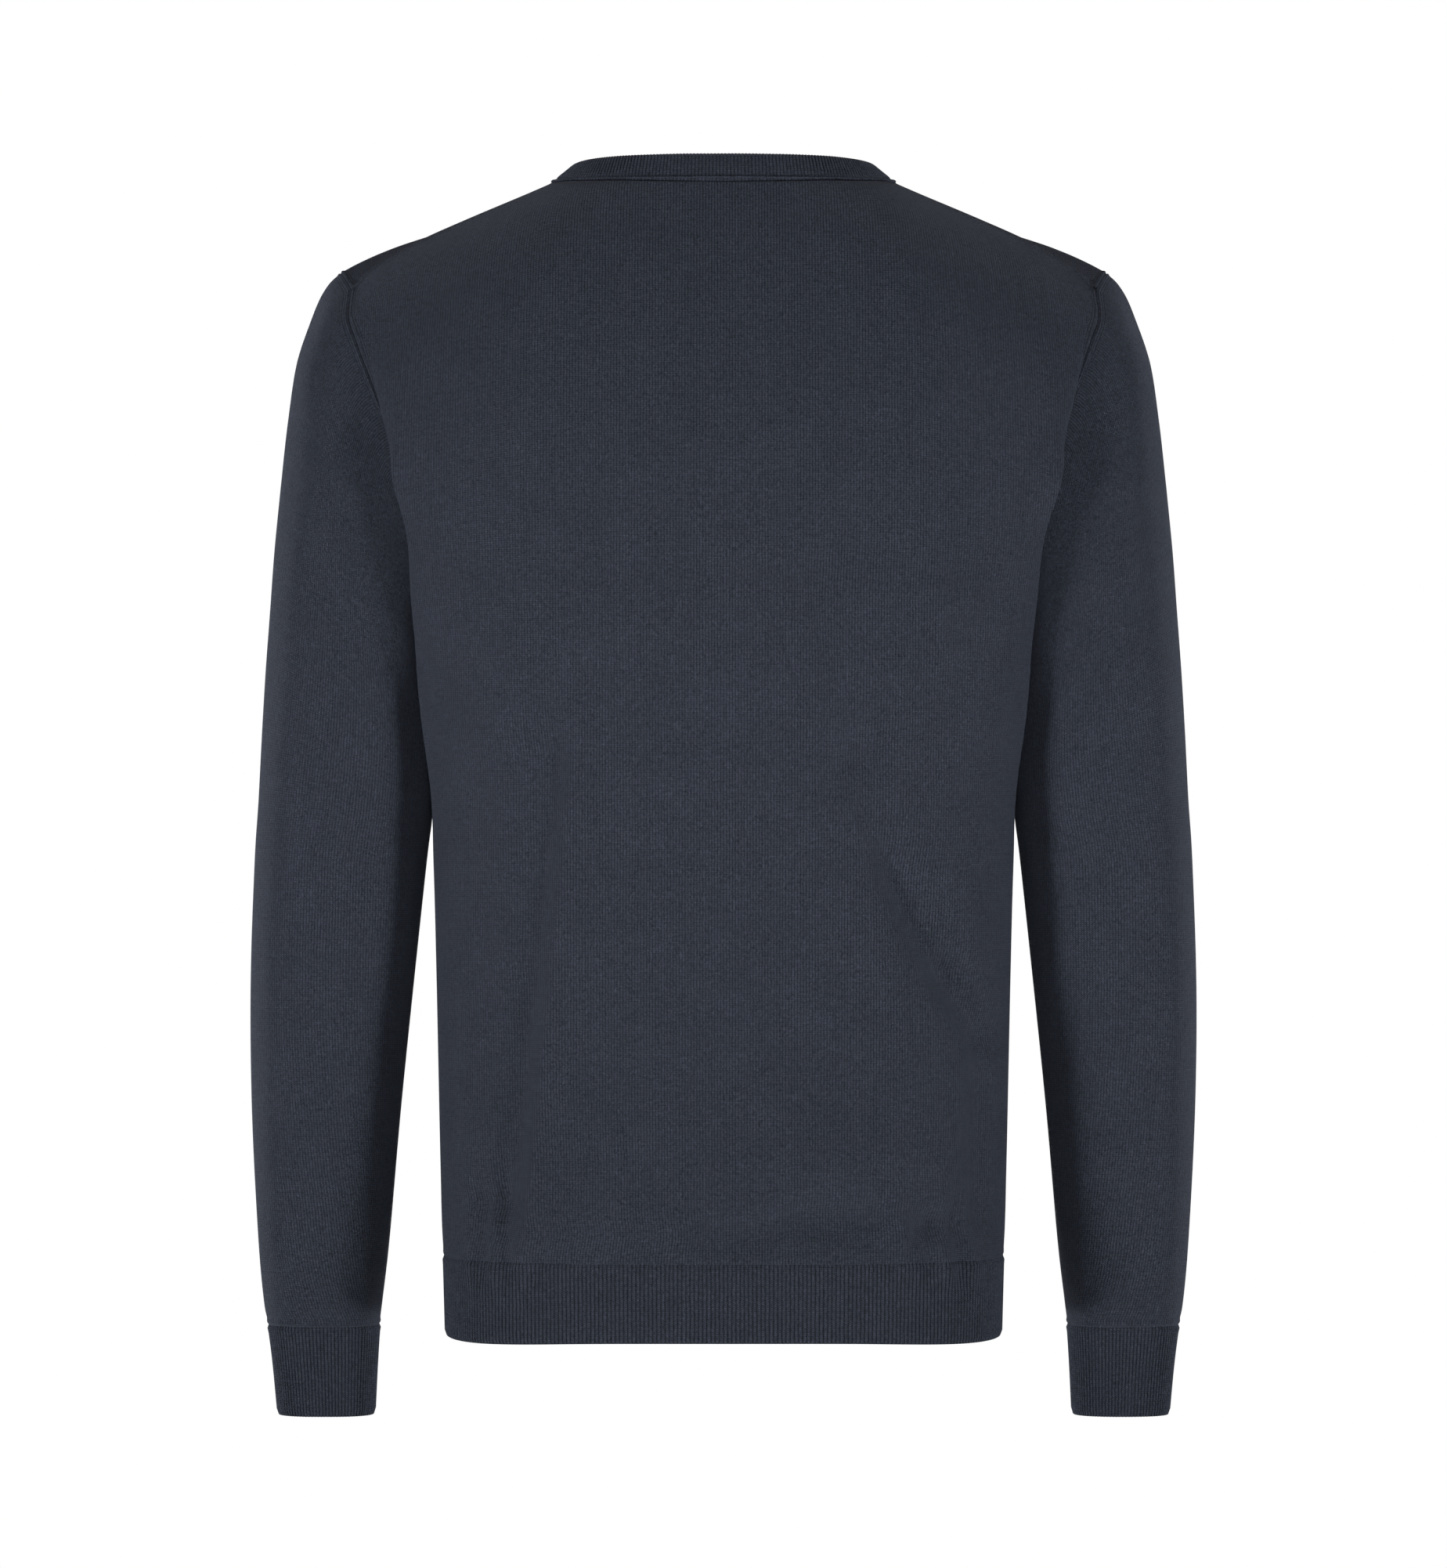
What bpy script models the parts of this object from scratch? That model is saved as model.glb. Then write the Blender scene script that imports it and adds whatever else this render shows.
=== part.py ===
"""A fine-knit v-neck sweater, filled out as when worn and open at the neck, hem and cuffs.

Everything below is in millimetres. X runs across the body (+X is the wearer's left), the front faces -Y, and
Z is up. The origin is the middle of the neck, level with the top of the shoulders. Each sewn piece is a wall
of its own: its outer points come from a few tables of sizes, its inner points lie one wall thickness inside
them, and its edges stand back from the seam, so that two pieces sewn together are 0.3 mm apart.
"""

import bpy
import numpy as np

TO_METRES = 0.001

# Knit
JERSEY_WALL = 1.8
RIB_WALL = 1.7
RIB_RELIEF = 0.5
SEAM_GAP = 0.3
HEM_RIB_PITCH = 2.4
CUFF_RIB_PITCH = 2.0

# Levels of the body
UNDERARM_Z = -240
HEM_SEAM_Z = -628
HEM_Z = -673.5
SIDE_SEAM_Y = -5
BACK_SHOULDER_ROUNDNESS = 4
FRONT_SHOULDER_ROUNDNESS = 3.2
BODY_SQUARENESS = 2.5
HEM_SQUARENESS = 2.8
HEM_DROP = 2.2
HEM_DROP_PLACE = 0.66
HEM_DROP_SPREAD = 0.25
SLEEVE_SQUARENESS = 2.5
ARM_CLEARANCE = 3.5
ARM_BLEND = 3.0
FAR_OUT = 400
WIDTH_PASSES = 6

# Neck
NECK_HALF_WIDTH = 102
BACK_NECK_Y = 75
BACK_NECK_Z = -3.5
NECKBAND_WIDTH = 17.6
NECKBAND_LIFT = 0.1
BAND_STANDS_ABOVE_Z = -70
NECK_CURVE = 0.92
NECK_POINT_SPREAD = 0.2
NECK_POINT_ROUNDNESS = 2

# The way the neckband faces: outwards by the place on the seam, and up by an amount of its own
BAND_FACES_X = 0.34
BAND_FACES_UP = 55
BAND_UP_LOST_BY_Y = 0.29
BAND_UP_BY_Z = 0.2

# How finely the walls are divided
NECK_COLUMNS = 5
SHOULDER_COLUMNS = 7
UPPER_ROWS = 9
LOWER_ROWS = 10
ROW_CROWDING = 1.6
ARC_SAMPLES = 240

NAVY = (0.034, 0.038, 0.052, 1)


def table(names, *rows):
    """A table of sizes as a dictionary of columns, its rows sorted by the first column."""
    values = np.array(sorted(rows), float)
    return dict(zip(names.split(), values.T))


BODY = table(
    "z half_width back_y front_y",
    (-240, 185.5, 117, -121),
    (-271, 181.0, 115, -121),
    (-315, 176.4, 111, -120),
    (-360, 171.0, 107, -119),
    (-398, 170.0, 104, -118),
    (-490, 168.0, 101, -116),
    (-582, 166.0, 104, -116),
    (-612, 165.2, 104, -115),
    (-628, 164.3, 102, -113),
    (-674, 163.0, 102, -112),
)

CENTRE_BACK = table(
    "z y",
    (-240, 117),
    (-200, 118),
    (-160, 117),
    (-120, 112),
    (-90, 106),
    (-60, 98),
    (-30, 87),
    (BACK_NECK_Z, BACK_NECK_Y),
)

# From the point of the V to the high point of the shoulder
V_EDGE = table(
    "along x y z",
    (0.00, 0, -118, -185),
    (0.25, 29, -112, -133),
    (0.50, 56, -97, -84),
    (0.75, 81, -65, -37),
    (0.92, 98, -24, -8),
    (1.00, NECK_HALF_WIDTH, 0, 0),
)

# The seam lies behind the ridge of the shoulder
SHOULDER_SEAM = table(
    "along x y z",
    (0.00, NECK_HALF_WIDTH, 0, 0),
    (0.38, 150, 2, -20.8),
    (0.66, 184, 6, -37),
    (0.86, 204, 14, -50),
    (1.00, 217.5, 22, -63),
)

# Armhole edges from the underarm (along 0) up to the end of the shoulder seam (along 1)
ARMHOLE_BACK = table(
    "along x y z",
    (0.04, 165.5, 19, -234),
    (0.15, 171, 38, -215),
    (0.34, 181, 50, -180),
    (0.53, 194, 52.5, -145),
    (0.71, 207, 50, -112),
    (0.83, 214.5, 43, -92),
    (0.90, 218.5, 34, -80.5),
    (1.00, 217.5, 22, -63),
)
ARMHOLE_FRONT = table(
    "along x y z",
    (0.04, 165.5, -29, -234),
    (0.17, 172, -46, -208),
    (0.37, 184, -53, -167),
    (0.56, 198, -51, -127),
    (0.72, 211, -42, -95),
    (0.84, 221.5, -24, -67),
    (0.92, 225, 0, -52),
    (1.00, 217.5, 22, -63),
)

# Rings down the sleeve, each tilted from its outer to its inner point
SLEEVE = table(
    "ring outer_x outer_z inner_x inner_z centre_y half_depth",
    (0, 225.0, -53, 163.0, -240, -2, 53.5),
    (1, 233.4, -60.0, 164.3, -246, -4, 55.0),
    (2, 241.4, -73.5, 165.3, -252, -6, 56.5),
    (3, 251.5, -103, 166.6, -262, -8, 58.0),
    (4, 256.7, -140, 167.6, -273, -10, 58.5),
    (5, 260.4, -177, 168.2, -285, -11, 58.5),
    (6, 264.1, -214, 168.7, -299, -12, 58.0),
    (7, 266.9, -251, 169.1, -315, -13, 57.5),
    (8, 269.6, -287, 169.6, -332, -14, 57.0),
    (9, 271.9, -324, 170.4, -350, -16, 56.5),
    (10, 273.9, -361, 171.9, -372, -18, 56.0),
    (11, 276.4, -398, 175.2, -398, -20, 55.0),
    (12, 279.1, -472, 183.3, -472, -25, 52.5),
    (13, 278.7, -546, 191.1, -546, -32, 49.0),
    (14, 275.4, -621, 197.9, -621, -39, 42.0),
    (15, 272.4, -658, 202.3, -658, -42.5, 36.0),
    (16, 269.9, -672, 204.0, -672, -44, 32.5),
    (17, 267.0, -695, 205.6, -695, -46, 30.0),
    (18, 264.3, -725.6, 207.2, -725.6, -49, 28.5),
)
CUFF_SEAM_RING = 16
CUFF_END_RING = 18
EVENLY_SPACED_RING = 11
LOOP_SHAPE_KEPT = (1.0, 0.75, 0.5, 0.22, 0.08)

# How far each panel is pushed out beside the armhole, where it folds over the sleeve
FOLD_SPREAD = 0.13
FOLD_REACH = table(
    "up place back_left back_right front",
    (0.00, 0.84, 0, 0, 0),
    (0.16, 0.85, 7, 10, 3),
    (0.34, 0.86, 20.5, 27, 6),
    (0.45, 0.89, 19, 25, 7),
    (0.56, 0.91, 15, 21.5, 6),
    (0.66, 0.93, 7.5, 14, 4),
    (0.76, 0.95, 1.5, 5, 2),
    (0.86, 0.95, 0, 0, 0),
    (1.00, 0.95, 0, 0, 0),
)

# Seams
LEAST_MITRE_COSINE = 0.28
LEAST_CORNER = 0.3
EDGE_ON = 0.4

# The largest folds, as soft ridges (height over 0) and troughs from a top point to a low one
BACK_FOLDS = table(
    "top_x top_z low_x low_z half_width height",
    (62, -235, 96, -480, 17, 2.6),
    (96, -450, 116, -640, 17, 2.6),
    (92, -300, 132, -600, 15, -2.4),
    (-60, -225, -98, -400, 18, -3.2),
    (-92, -385, -155, -525, 18, -3.0),
    (-118, -290, -140, -420, 17, 2.8),
    (-20, -618, -150, -614, 12, -2.2),
    (-30, -588, -130, -584, 16, 1.6),
    (148, -500, 154, -640, 9, -2.2),
    (194, -285, 184, -372, 11, -2.6),
    (-206, -265, -178, -372, 12, -3.0),
    (214, -400, 196, -520, 12, -1.8),
    (-212, -410, -198, -540, 12, -1.8),
    (180, -150, 150, -215, 15, 2.0),
    (-180, -150, -152, -220, 15, 2.0),
)
FRONT_FOLDS = table(
    "top_x top_z low_x low_z half_width height",
    (150, -190, 92, -330, 18, 2.6),
    (-152, -185, -88, -315, 18, 2.4),
    (84, -310, 104, -560, 17, -2.4),
    (-92, -330, -118, -600, 17, 2.4),
    (-60, -400, -76, -610, 16, -2.0),
    (232, -380, 214, -470, 12, -1.8),
    (-230, -370, -216, -480, 12, -1.8),
)


def smooth(curve, column, at):
    """Reads a column of a table at given values of its first column, on a smooth curve through its rows."""
    keys = next(iter(curve.values()))
    values = curve[column]
    step = np.diff(keys)
    slope = np.diff(values) / step
    tangent = np.empty(len(keys))
    tangent[0], tangent[-1] = slope[0], slope[-1]
    tangent[1:-1] = (slope[:-1] * step[1:] + slope[1:] * step[:-1]) / (step[1:] + step[:-1])
    at = np.clip(np.asarray(at, float), keys[0], keys[-1])
    i = np.clip(np.searchsorted(keys, at, side="right") - 1, 0, len(keys) - 2)
    u = (at - keys[i]) / step[i]
    rise = (3 - 2 * u) * u * u
    ease_in = u * (1 - u) ** 2 * step[i] * tangent[i]
    ease_out = u * u * (u - 1) * step[i] * tangent[i + 1]
    return values[i] + rise * (values[i + 1] - values[i]) + ease_in + ease_out


def curve_points(curve, at):
    """Points x, y, z of a table at the given places along it."""
    return np.stack([smooth(curve, axis, at) for axis in "xyz"], axis=-1)


def unit(vectors):
    return vectors / np.maximum(np.linalg.norm(vectors, axis=-1, keepdims=True), 1e-9)


def sleeve_ring(ring, angle):
    """Points of one ring of the left sleeve: angle 0 is its outer side, and a quarter turn is its back."""
    read = {name: smooth(SLEEVE, name, ring) for name in SLEEVE if name != "ring"}
    power = 2 / SLEEVE_SQUARENESS
    across = np.sign(np.cos(angle)) * np.abs(np.cos(angle)) ** power
    deep = np.sign(np.sin(angle)) * np.abs(np.sin(angle)) ** power
    return np.stack(
        [
            (read["outer_x"] + read["inner_x"] + across * (read["outer_x"] - read["inner_x"])) / 2,
            read["centre_y"] + deep * read["half_depth"],
            (read["outer_z"] + read["inner_z"] + across * (read["outer_z"] - read["inner_z"])) / 2,
        ],
        axis=-1,
    )


def sleeve_inner_x(y, z):
    """How far in the sleeve reaches at a depth and a height below the underarm; far out where it doesn't."""
    columns = ("inner_z", "inner_x", "outer_x", "centre_y", "half_depth")
    by_height = {name: SLEEVE[name][::-1] for name in columns}
    inner = smooth(by_height, "inner_x", z)
    half_width = (smooth(by_height, "outer_x", z) - inner) / 2
    deep = np.abs((y - smooth(by_height, "centre_y", z)) / smooth(by_height, "half_depth", z))
    reach = np.clip(1 - deep**SLEEVE_SQUARENESS, 0, 1) ** (1 / SLEEVE_SQUARENESS)
    return np.where(deep < 1, inner + half_width * (1 - reach), FAR_OUT)


def body_ring(z, face, columns):
    """Half a ring of the body at a height, from the centre of its back (face 1) or front (-1) to its side.

    The arm presses the side in, and the ring is as wide at its widest as its table says.
    """
    centre = smooth(BODY, "back_y" if face > 0 else "front_y", z)
    angle = np.linspace(0, np.pi / 2, ARC_SAMPLES)
    power = 2 / np.interp(z, (HEM_Z, UNDERARM_Z), (HEM_SQUARENESS, BODY_SQUARENESS))
    y = SIDE_SEAM_Y + (centre - SIDE_SEAM_Y) * np.cos(angle) ** power
    limit = sleeve_inner_x(y, z) - ARM_CLEARANCE
    width = target = smooth(BODY, "half_width", z)
    for _ in range(WIDTH_PASSES):
        x = width * np.sin(angle) ** power
        x = -ARM_BLEND * np.log(np.exp(-x / ARM_BLEND) + np.exp(-limit / ARM_BLEND))
        width += target - x.max()
    x[0] = 0
    points = np.stack([x, y, np.full_like(x, z)], axis=-1)
    length = np.concatenate([[0], np.cumsum(np.linalg.norm(np.diff(points, axis=0), axis=1))])
    wanted = np.linspace(0, length[-1], columns + 1)
    return np.stack([np.interp(wanted, length, points[:, axis]) for axis in range(3)], axis=-1)


def hem_edge(face, columns):
    """Half of the hem's free edge, which hangs a little lower between its middle and the side seam."""
    edge = body_ring(HEM_Z, face, columns)
    along = np.linspace(0, 1, columns + 1)
    edge[:, 2] -= HEM_DROP * np.exp(-(((along - HEM_DROP_PLACE) / HEM_DROP_SPREAD) ** 2))
    return edge


def back_neck(along):
    """The neck seam across the back, from its centre to the high point of the shoulder."""
    turn = along * np.pi / 2
    return np.stack(
        [
            NECK_HALF_WIDTH * np.sin(turn) ** NECK_CURVE,
            BACK_NECK_Y * np.cos(turn) ** NECK_CURVE,
            BACK_NECK_Z * np.cos(turn),
        ],
        axis=-1,
    )


def upper_panel(face, side):
    """Half of a panel above the underarm: rows of points go up, columns go from the centre to the armhole."""
    columns = NECK_COLUMNS + SHOULDER_COLUMNS
    base = body_ring(UNDERARM_Z, face, columns)
    along_shoulder = np.linspace(0, 1, SHOULDER_COLUMNS + 1)
    along_neck = np.linspace(0, 1, NECK_COLUMNS + 1)
    neck = back_neck(along_neck) if face > 0 else curve_points(V_EDGE, along_neck)
    top = np.concatenate([neck[:-1], curve_points(SHOULDER_SEAM, along_shoulder)])

    up = 1 - (1 - np.linspace(0, 1, UPPER_ROWS + 1)) ** ROW_CROWDING
    armhole = curve_points(armhole_with_underarm(face, base[-1]), up)
    if face > 0:
        z = UNDERARM_Z + up * (BACK_NECK_Z - UNDERARM_Z)
        centre = np.stack([0 * z, smooth(CENTRE_BACK, "y", z), z], axis=-1)
    else:
        centre = base[0] + up[:, None] * (neck[0] - base[0])

    # The top row is reached evenly in x and z, and late in y, which rounds the shoulder.
    across = np.linspace(0, 1, columns + 1)
    by_neck_point = np.exp(-(((across - NECK_COLUMNS / columns) / NECK_POINT_SPREAD) ** 2))
    back_roundness = BACK_SHOULDER_ROUNDNESS + NECK_POINT_ROUNDNESS * by_neck_point
    roundness = back_roundness if face > 0 else np.full_like(across, FRONT_SHOULDER_ROUNDNESS)
    late = 1 - np.sqrt(1 - up[:, None] ** roundness)
    even = np.broadcast_to(up[:, None], late.shape)
    rise = np.stack([even, late, even], axis=-1)
    grid = (1 - rise) * base[None] + rise * top[None]

    # What the centre line and the armhole still lack is shared out over the columns beside them.
    to_centre = (centre - grid[:, 0])[:, None, :]
    to_armhole = (armhole - grid[:, -1])[:, None, :]
    share = across[None, :, None]
    grid = grid + (1 - share) * to_centre + share ** np.array([2, 3, 1.3]) * to_armhole
    return add_arm_fold(grid, across, up, f"back_{side}" if face > 0 else "front")


def add_arm_fold(grid, across, up, column):
    """Pushes the panel out beside the armhole, where it folds over the sleeve."""
    reach = smooth(FOLD_REACH, column, up)[:, None]
    place = smooth(FOLD_REACH, "place", up)[:, None]
    shown = np.exp(-(((across - place) / FOLD_SPREAD) ** 2)) * np.minimum(1, (1 - across) / (1 - place))
    grid[:, :, 0] += reach * shown
    return grid


def armhole_with_underarm(face, underarm):
    """The armhole edge of a panel, with its lowest point put where the ring under the arm ends."""
    edge = ARMHOLE_BACK if face > 0 else ARMHOLE_FRONT
    lowest = (0, *underarm)
    return {name: np.concatenate([[first], values]) for first, (name, values) in zip(lowest, edge.items())}


def panel_half(face, side):
    """Half of a panel from the hem seam to the shoulder, as if it were the left half."""
    columns = NECK_COLUMNS + SHOULDER_COLUMNS
    heights = np.linspace(HEM_SEAM_Z, UNDERARM_Z, LOWER_ROWS + 1)
    lower = np.stack([body_ring(z, face, columns) for z in heights[:-1]])
    return np.concatenate([lower, upper_panel(face, side)])


def both_sides(left, right):
    """A left half grid and the mirror image of a right one as one grid, from the right side to the left."""
    mirrored = right[:, :0:-1] * np.array([-1, 1, 1])
    return np.concatenate([mirrored, left], axis=1)


def sleeve_grid(armhole):
    """Rings of the left sleeve: the first on the armhole's own points, the later ones evenly spaced."""
    first = {name: SLEEVE[name][0] for name in SLEEVE}
    middle = np.array([first["outer_x"] + first["inner_x"], first["outer_z"] + first["inner_z"]]) / 2
    half = np.array([first["outer_x"] - first["inner_x"], first["outer_z"] - first["inner_z"]]) / 2
    across = (armhole[:, [0, 2]] - middle) @ half / (half @ half)
    deep = (armhole[:, 1] - first["centre_y"]) / first["half_depth"]
    power = SLEEVE_SQUARENESS / 2
    angle = np.arctan2(np.sign(deep) * np.abs(deep) ** power, np.sign(across) * np.abs(across) ** power)
    followed = np.unwrap(angle)
    whole_turn = np.sign(followed[-1] - followed[0]) * 2 * np.pi
    even = followed[0] + np.linspace(0, whole_turn, len(angle), endpoint=False)
    misfit = armhole - sleeve_ring(0, angle)
    kept = dict(enumerate(LOOP_SHAPE_KEPT))
    rings = []
    for ring in range(CUFF_END_RING + 1):
        towards_even = min(1, ring / EVENLY_SPACED_RING)
        at = followed + (even - followed) * towards_even
        rings.append(sleeve_ring(ring, at) + kept.get(ring, 0) * misfit)
    return np.stack(rings)


def fold_heights(points, normals):
    """How far the largest folds raise each point."""
    height = np.zeros(len(points))
    for folds, faces_it in ((BACK_FOLDS, normals[:, 1]), (FRONT_FOLDS, -normals[:, 1])):
        shown = np.clip(2 * faces_it, 0, 1)
        for top_x, top_z, low_x, low_z, half_width, rise in zip(*folds.values()):
            line = np.array([low_x - top_x, low_z - top_z])
            from_top = points[:, [0, 2]] - (top_x, top_z)
            along = from_top @ line / (line @ line)
            off = np.abs(from_top @ np.array([-line[1], line[0]])) / np.linalg.norm(line)
            ends = np.clip(4 * along, 0, 1) * np.clip(4 * (1 - along), 0, 1)
            height += shown * rise * np.exp(-((off / half_width) ** 2)) * ends * ends * (3 - 2 * ends)
    return height


class Surface:
    """The outer face of one piece: points, and faces that turn anticlockwise as seen from outside."""

    def __init__(self, name, group, grid, round_it=False, flip=False):
        rows, columns = grid.shape[:2]
        number = np.arange(rows * columns).reshape(rows, columns)
        if round_it:
            number = np.concatenate([number, number[:, :1]], axis=1)
        corners = [number[:-1, :-1], number[:-1, 1:], number[1:, 1:], number[1:, :-1]]
        quads = np.stack(corners, axis=-1).reshape(-1, 4)
        self.name, self.group = name, group
        self.points = grid.reshape(-1, 3)
        self.quads = quads[:, ::-1] if flip else quads
        self.grid_rows = number[::-1] if flip else number


def face_normals(points, quads):
    """A unit normal for each four-sided face."""
    corners = points[quads]
    return unit(np.cross(corners[:, 2] - corners[:, 0], corners[:, 3] - corners[:, 1]))


def shared_normals(surfaces):
    """Normals and mitre factors of every point, shared where pieces meet.

    At a seam each group of pieces counts once, so that the normal halves the angle between the walls.
    """
    place = np.concatenate([surface.points for surface in surfaces])
    _, spot = np.unique(np.round(place, 2), axis=0, return_inverse=True)
    spot = spot.reshape(-1)
    by_group = {}
    starts = np.cumsum([0] + [len(surface.points) for surface in surfaces])
    for surface, start in zip(surfaces, starts):
        total = by_group.setdefault(surface.group, np.zeros((spot.max() + 1, 3)))
        normals = face_normals(surface.points, surface.quads)
        for corner in surface.quads.T:
            np.add.at(total, spot[start + corner], normals)
    by_group = {group: unit(total) for group, total in by_group.items()}
    shared = unit(sum(by_group.values()))
    for surface, start in zip(surfaces, starts):
        here = spot[start : start + len(surface.points)]
        own = by_group[surface.group][here]
        surface.own_normals = own
        surface.normals = shared[here]
        surface.mitre = 1 / np.maximum((own * surface.normals).sum(axis=1), LEAST_MITRE_COSINE)


def boundary_edges(quads):
    """Each edge that only one face has, in the direction that face goes round."""
    edges = np.concatenate([quads[:, [i, (i + 1) % 4]] for i in range(4)])
    known = {tuple(edge) for edge in edges}
    return np.array([edge for edge in edges if (edge[1], edge[0]) not in known])


def stand_back(surface):
    """Moves each edge point half a seam gap into its own piece, away from both edges that meet there."""
    edges = boundary_edges(surface.quads)
    into = {}
    for start, end in edges:
        along = unit(surface.points[end] - surface.points[start])
        for point in (start, end):
            towards = np.cross(surface.normals[point], along)
            if np.linalg.norm(towards) < EDGE_ON:
                towards = np.cross(surface.own_normals[point], along)
            into.setdefault(point, []).append(unit(towards))
    moved = surface.points.copy()
    for point, (one, other) in into.items():
        moved[point] += SEAM_GAP / 2 * (one + other) / max(1 + one @ other, LEAST_CORNER)
    return moved, edges


def leads(start, end):
    """Whether an edge's end comes first. Pieces that share an edge agree, so their end faces twist alike."""
    along = end - start
    return np.sign(start[:, 0] + end[:, 0]) * along[:, 0] + 0.5 * along[:, 1] + 2 * along[:, 2] > 0


def make_object(name, points, faces, material, parent):
    mesh = bpy.data.meshes.new(name)
    mesh.from_pydata((points * TO_METRES).tolist(), [], [list(map(int, face)) for face in faces])
    mesh.validate()
    mesh.materials.append(material)
    made = bpy.data.objects.new(name, mesh)
    made.parent = parent
    bpy.context.scene.collection.objects.link(made)
    return made


def plain_wall(surface, thickness, material, parent):
    """A closed wall: the outer face, the same face moved in, and a strip along every edge."""
    outer, edges = stand_back(surface)
    inner = outer - thickness * surface.mitre[:, None] * surface.normals
    count = len(outer)
    a, b, c, d = surface.quads.T
    halves = np.concatenate([np.stack([a, b, c], 1), np.stack([a, c, d], 1)])
    start, end = edges.T
    from_end = leads(outer[start], outer[end])
    near = np.stack([end, start, np.where(from_end, start, end) + count], 1)
    far = np.stack([np.where(from_end, end, start), start + count, end + count], 1)
    faces = np.concatenate([halves, halves[:, ::-1] + count, near, far])
    return make_object(surface.name, np.concatenate([outer, inner]), faces, material, parent)


def ribbed_wall(surface, pitch, material, parent):
    """A closed wall with ribs across the band on its outer face, and a plain, coarser inside."""
    outer, _ = stand_back(surface)
    inner = outer - RIB_WALL * surface.mitre[:, None] * surface.normals
    rows = surface.grid_rows
    closed = rows[0, 0] == rows[0, -1]
    segments = rows.shape[1] - 1
    lengths = np.linalg.norm(outer[rows[:, 1:]] - outer[rows[:, :-1]], axis=2).mean(axis=0)
    steps = 2 * np.maximum(1, np.round(lengths / pitch).astype(int))
    firsts = np.concatenate([[0], np.cumsum(steps)])
    points, fine, coarse = [], [], []
    places = np.concatenate([i + np.arange(steps[i]) / steps[i] for i in range(segments)] + [[segments]])
    left = np.minimum(places.astype(int), segments - 1)
    part = (places - left)[:, None]
    raised = RIB_RELIEF * (np.arange(len(places)) % 2)[:, None]
    for row in rows:
        on_row = outer[row[left]] * (1 - part) + outer[row[left + 1]] * part
        up = unit(surface.normals[row[left]] * (1 - part) + surface.normals[row[left + 1]] * part)
        on_row = on_row + raised * up
        first = sum(len(done) for done in points)
        fine.append(first + np.arange(len(on_row)))
        points.append(on_row)
    for row in rows:
        first = sum(len(done) for done in points)
        coarse.append(first + np.arange(segments + 1))
        points.append(inner[row])
    if closed:
        for line in fine + coarse:
            line[-1] = line[0]
    faces = []
    for low, high in zip(fine[:-1], fine[1:]):
        faces += quad_strip(low, high)
    for low, high in zip(coarse[:-1], coarse[1:]):
        faces += quad_strip(high, low)
    for end, turn in ((0, 1), (-1, -1)):
        from_end = leads(outer[rows[end][:-1]], outer[rows[end][1:]])
        faces += [face[::turn] for face in edge_fan(coarse[end], fine[end], firsts, from_end)]
    if not closed:
        faces += quad_strip([line[0] for line in fine], [line[0] for line in coarse])
        faces += quad_strip([line[-1] for line in coarse], [line[-1] for line in fine])
    return make_object(surface.name, np.concatenate(points), faces, material, parent)


def quad_strip(low, high):
    """Triangles between two rows of the same length."""
    made = []
    for a, b, c, d in zip(low[:-1], low[1:], high[1:], high[:-1]):
        made += [(a, b, c), (a, c, d)]
    return made


def edge_fan(coarse, fine, firsts, from_end):
    """Triangles from a coarse row to a fine one; firsts says which fine point lies at each coarse one."""
    made = []
    for i, at_end in enumerate(from_end):
        hub, corner = (coarse[i], firsts[i + 1]) if at_end else (coarse[i + 1], firsts[i])
        made += [(hub, fine[j + 1], fine[j]) for j in range(firsts[i], firsts[i + 1])]
        made.append((coarse[i], coarse[i + 1], fine[corner]))
    return made


def knit(name, colour, roughness):
    material = bpy.data.materials.new(name)
    material.use_nodes = True
    shader = material.node_tree.nodes["Principled BSDF"]
    shader.inputs["Base Color"].default_value = colour
    shader.inputs["Roughness"].default_value = roughness
    return material


def neck_loop(back, front):
    """The neck seam, from the point of the V round by the left shoulder and the back."""
    centre = NECK_COLUMNS + SHOULDER_COLUMNS
    left_front = front[-1, centre : centre + NECK_COLUMNS + 1]
    across_back = back[-1, centre - NECK_COLUMNS : centre + NECK_COLUMNS + 1][::-1]
    right_front = front[-1, centre - NECK_COLUMNS : centre + 1]
    return np.concatenate([left_front[:-1], across_back[:-1], right_front[:-1]])


def neckband_grid(seam):
    """The band from the neck seam to its free edge: it stands up at the back and lies flat in front."""
    following, before = np.roll(seam, -1, axis=0), np.roll(seam, 1, axis=0)
    edge = []
    for here, ahead, behind in zip(seam, following, before):
        stands = np.clip(1 - here[2] / BAND_STANDS_ABOVE_Z, 0, 1)
        faces_up = BAND_FACES_UP - BAND_UP_LOST_BY_Y * max(here[1], 0) + BAND_UP_BY_Z * here[2]
        out_of_cloth = unit(np.array([BAND_FACES_X * here[0], here[1], faces_up]))
        sides = []
        for direction in (ahead - here, here - behind):
            inward = np.cross(out_of_cloth, unit(direction))
            sides.append(unit(inward + (0, 0, NECKBAND_LIFT * stands)))
        one, other = sides
        edge.append(here + NECKBAND_WIDTH * (one + other) / (1 + one @ other))
    return np.stack([seam, np.array(edge)])


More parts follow.
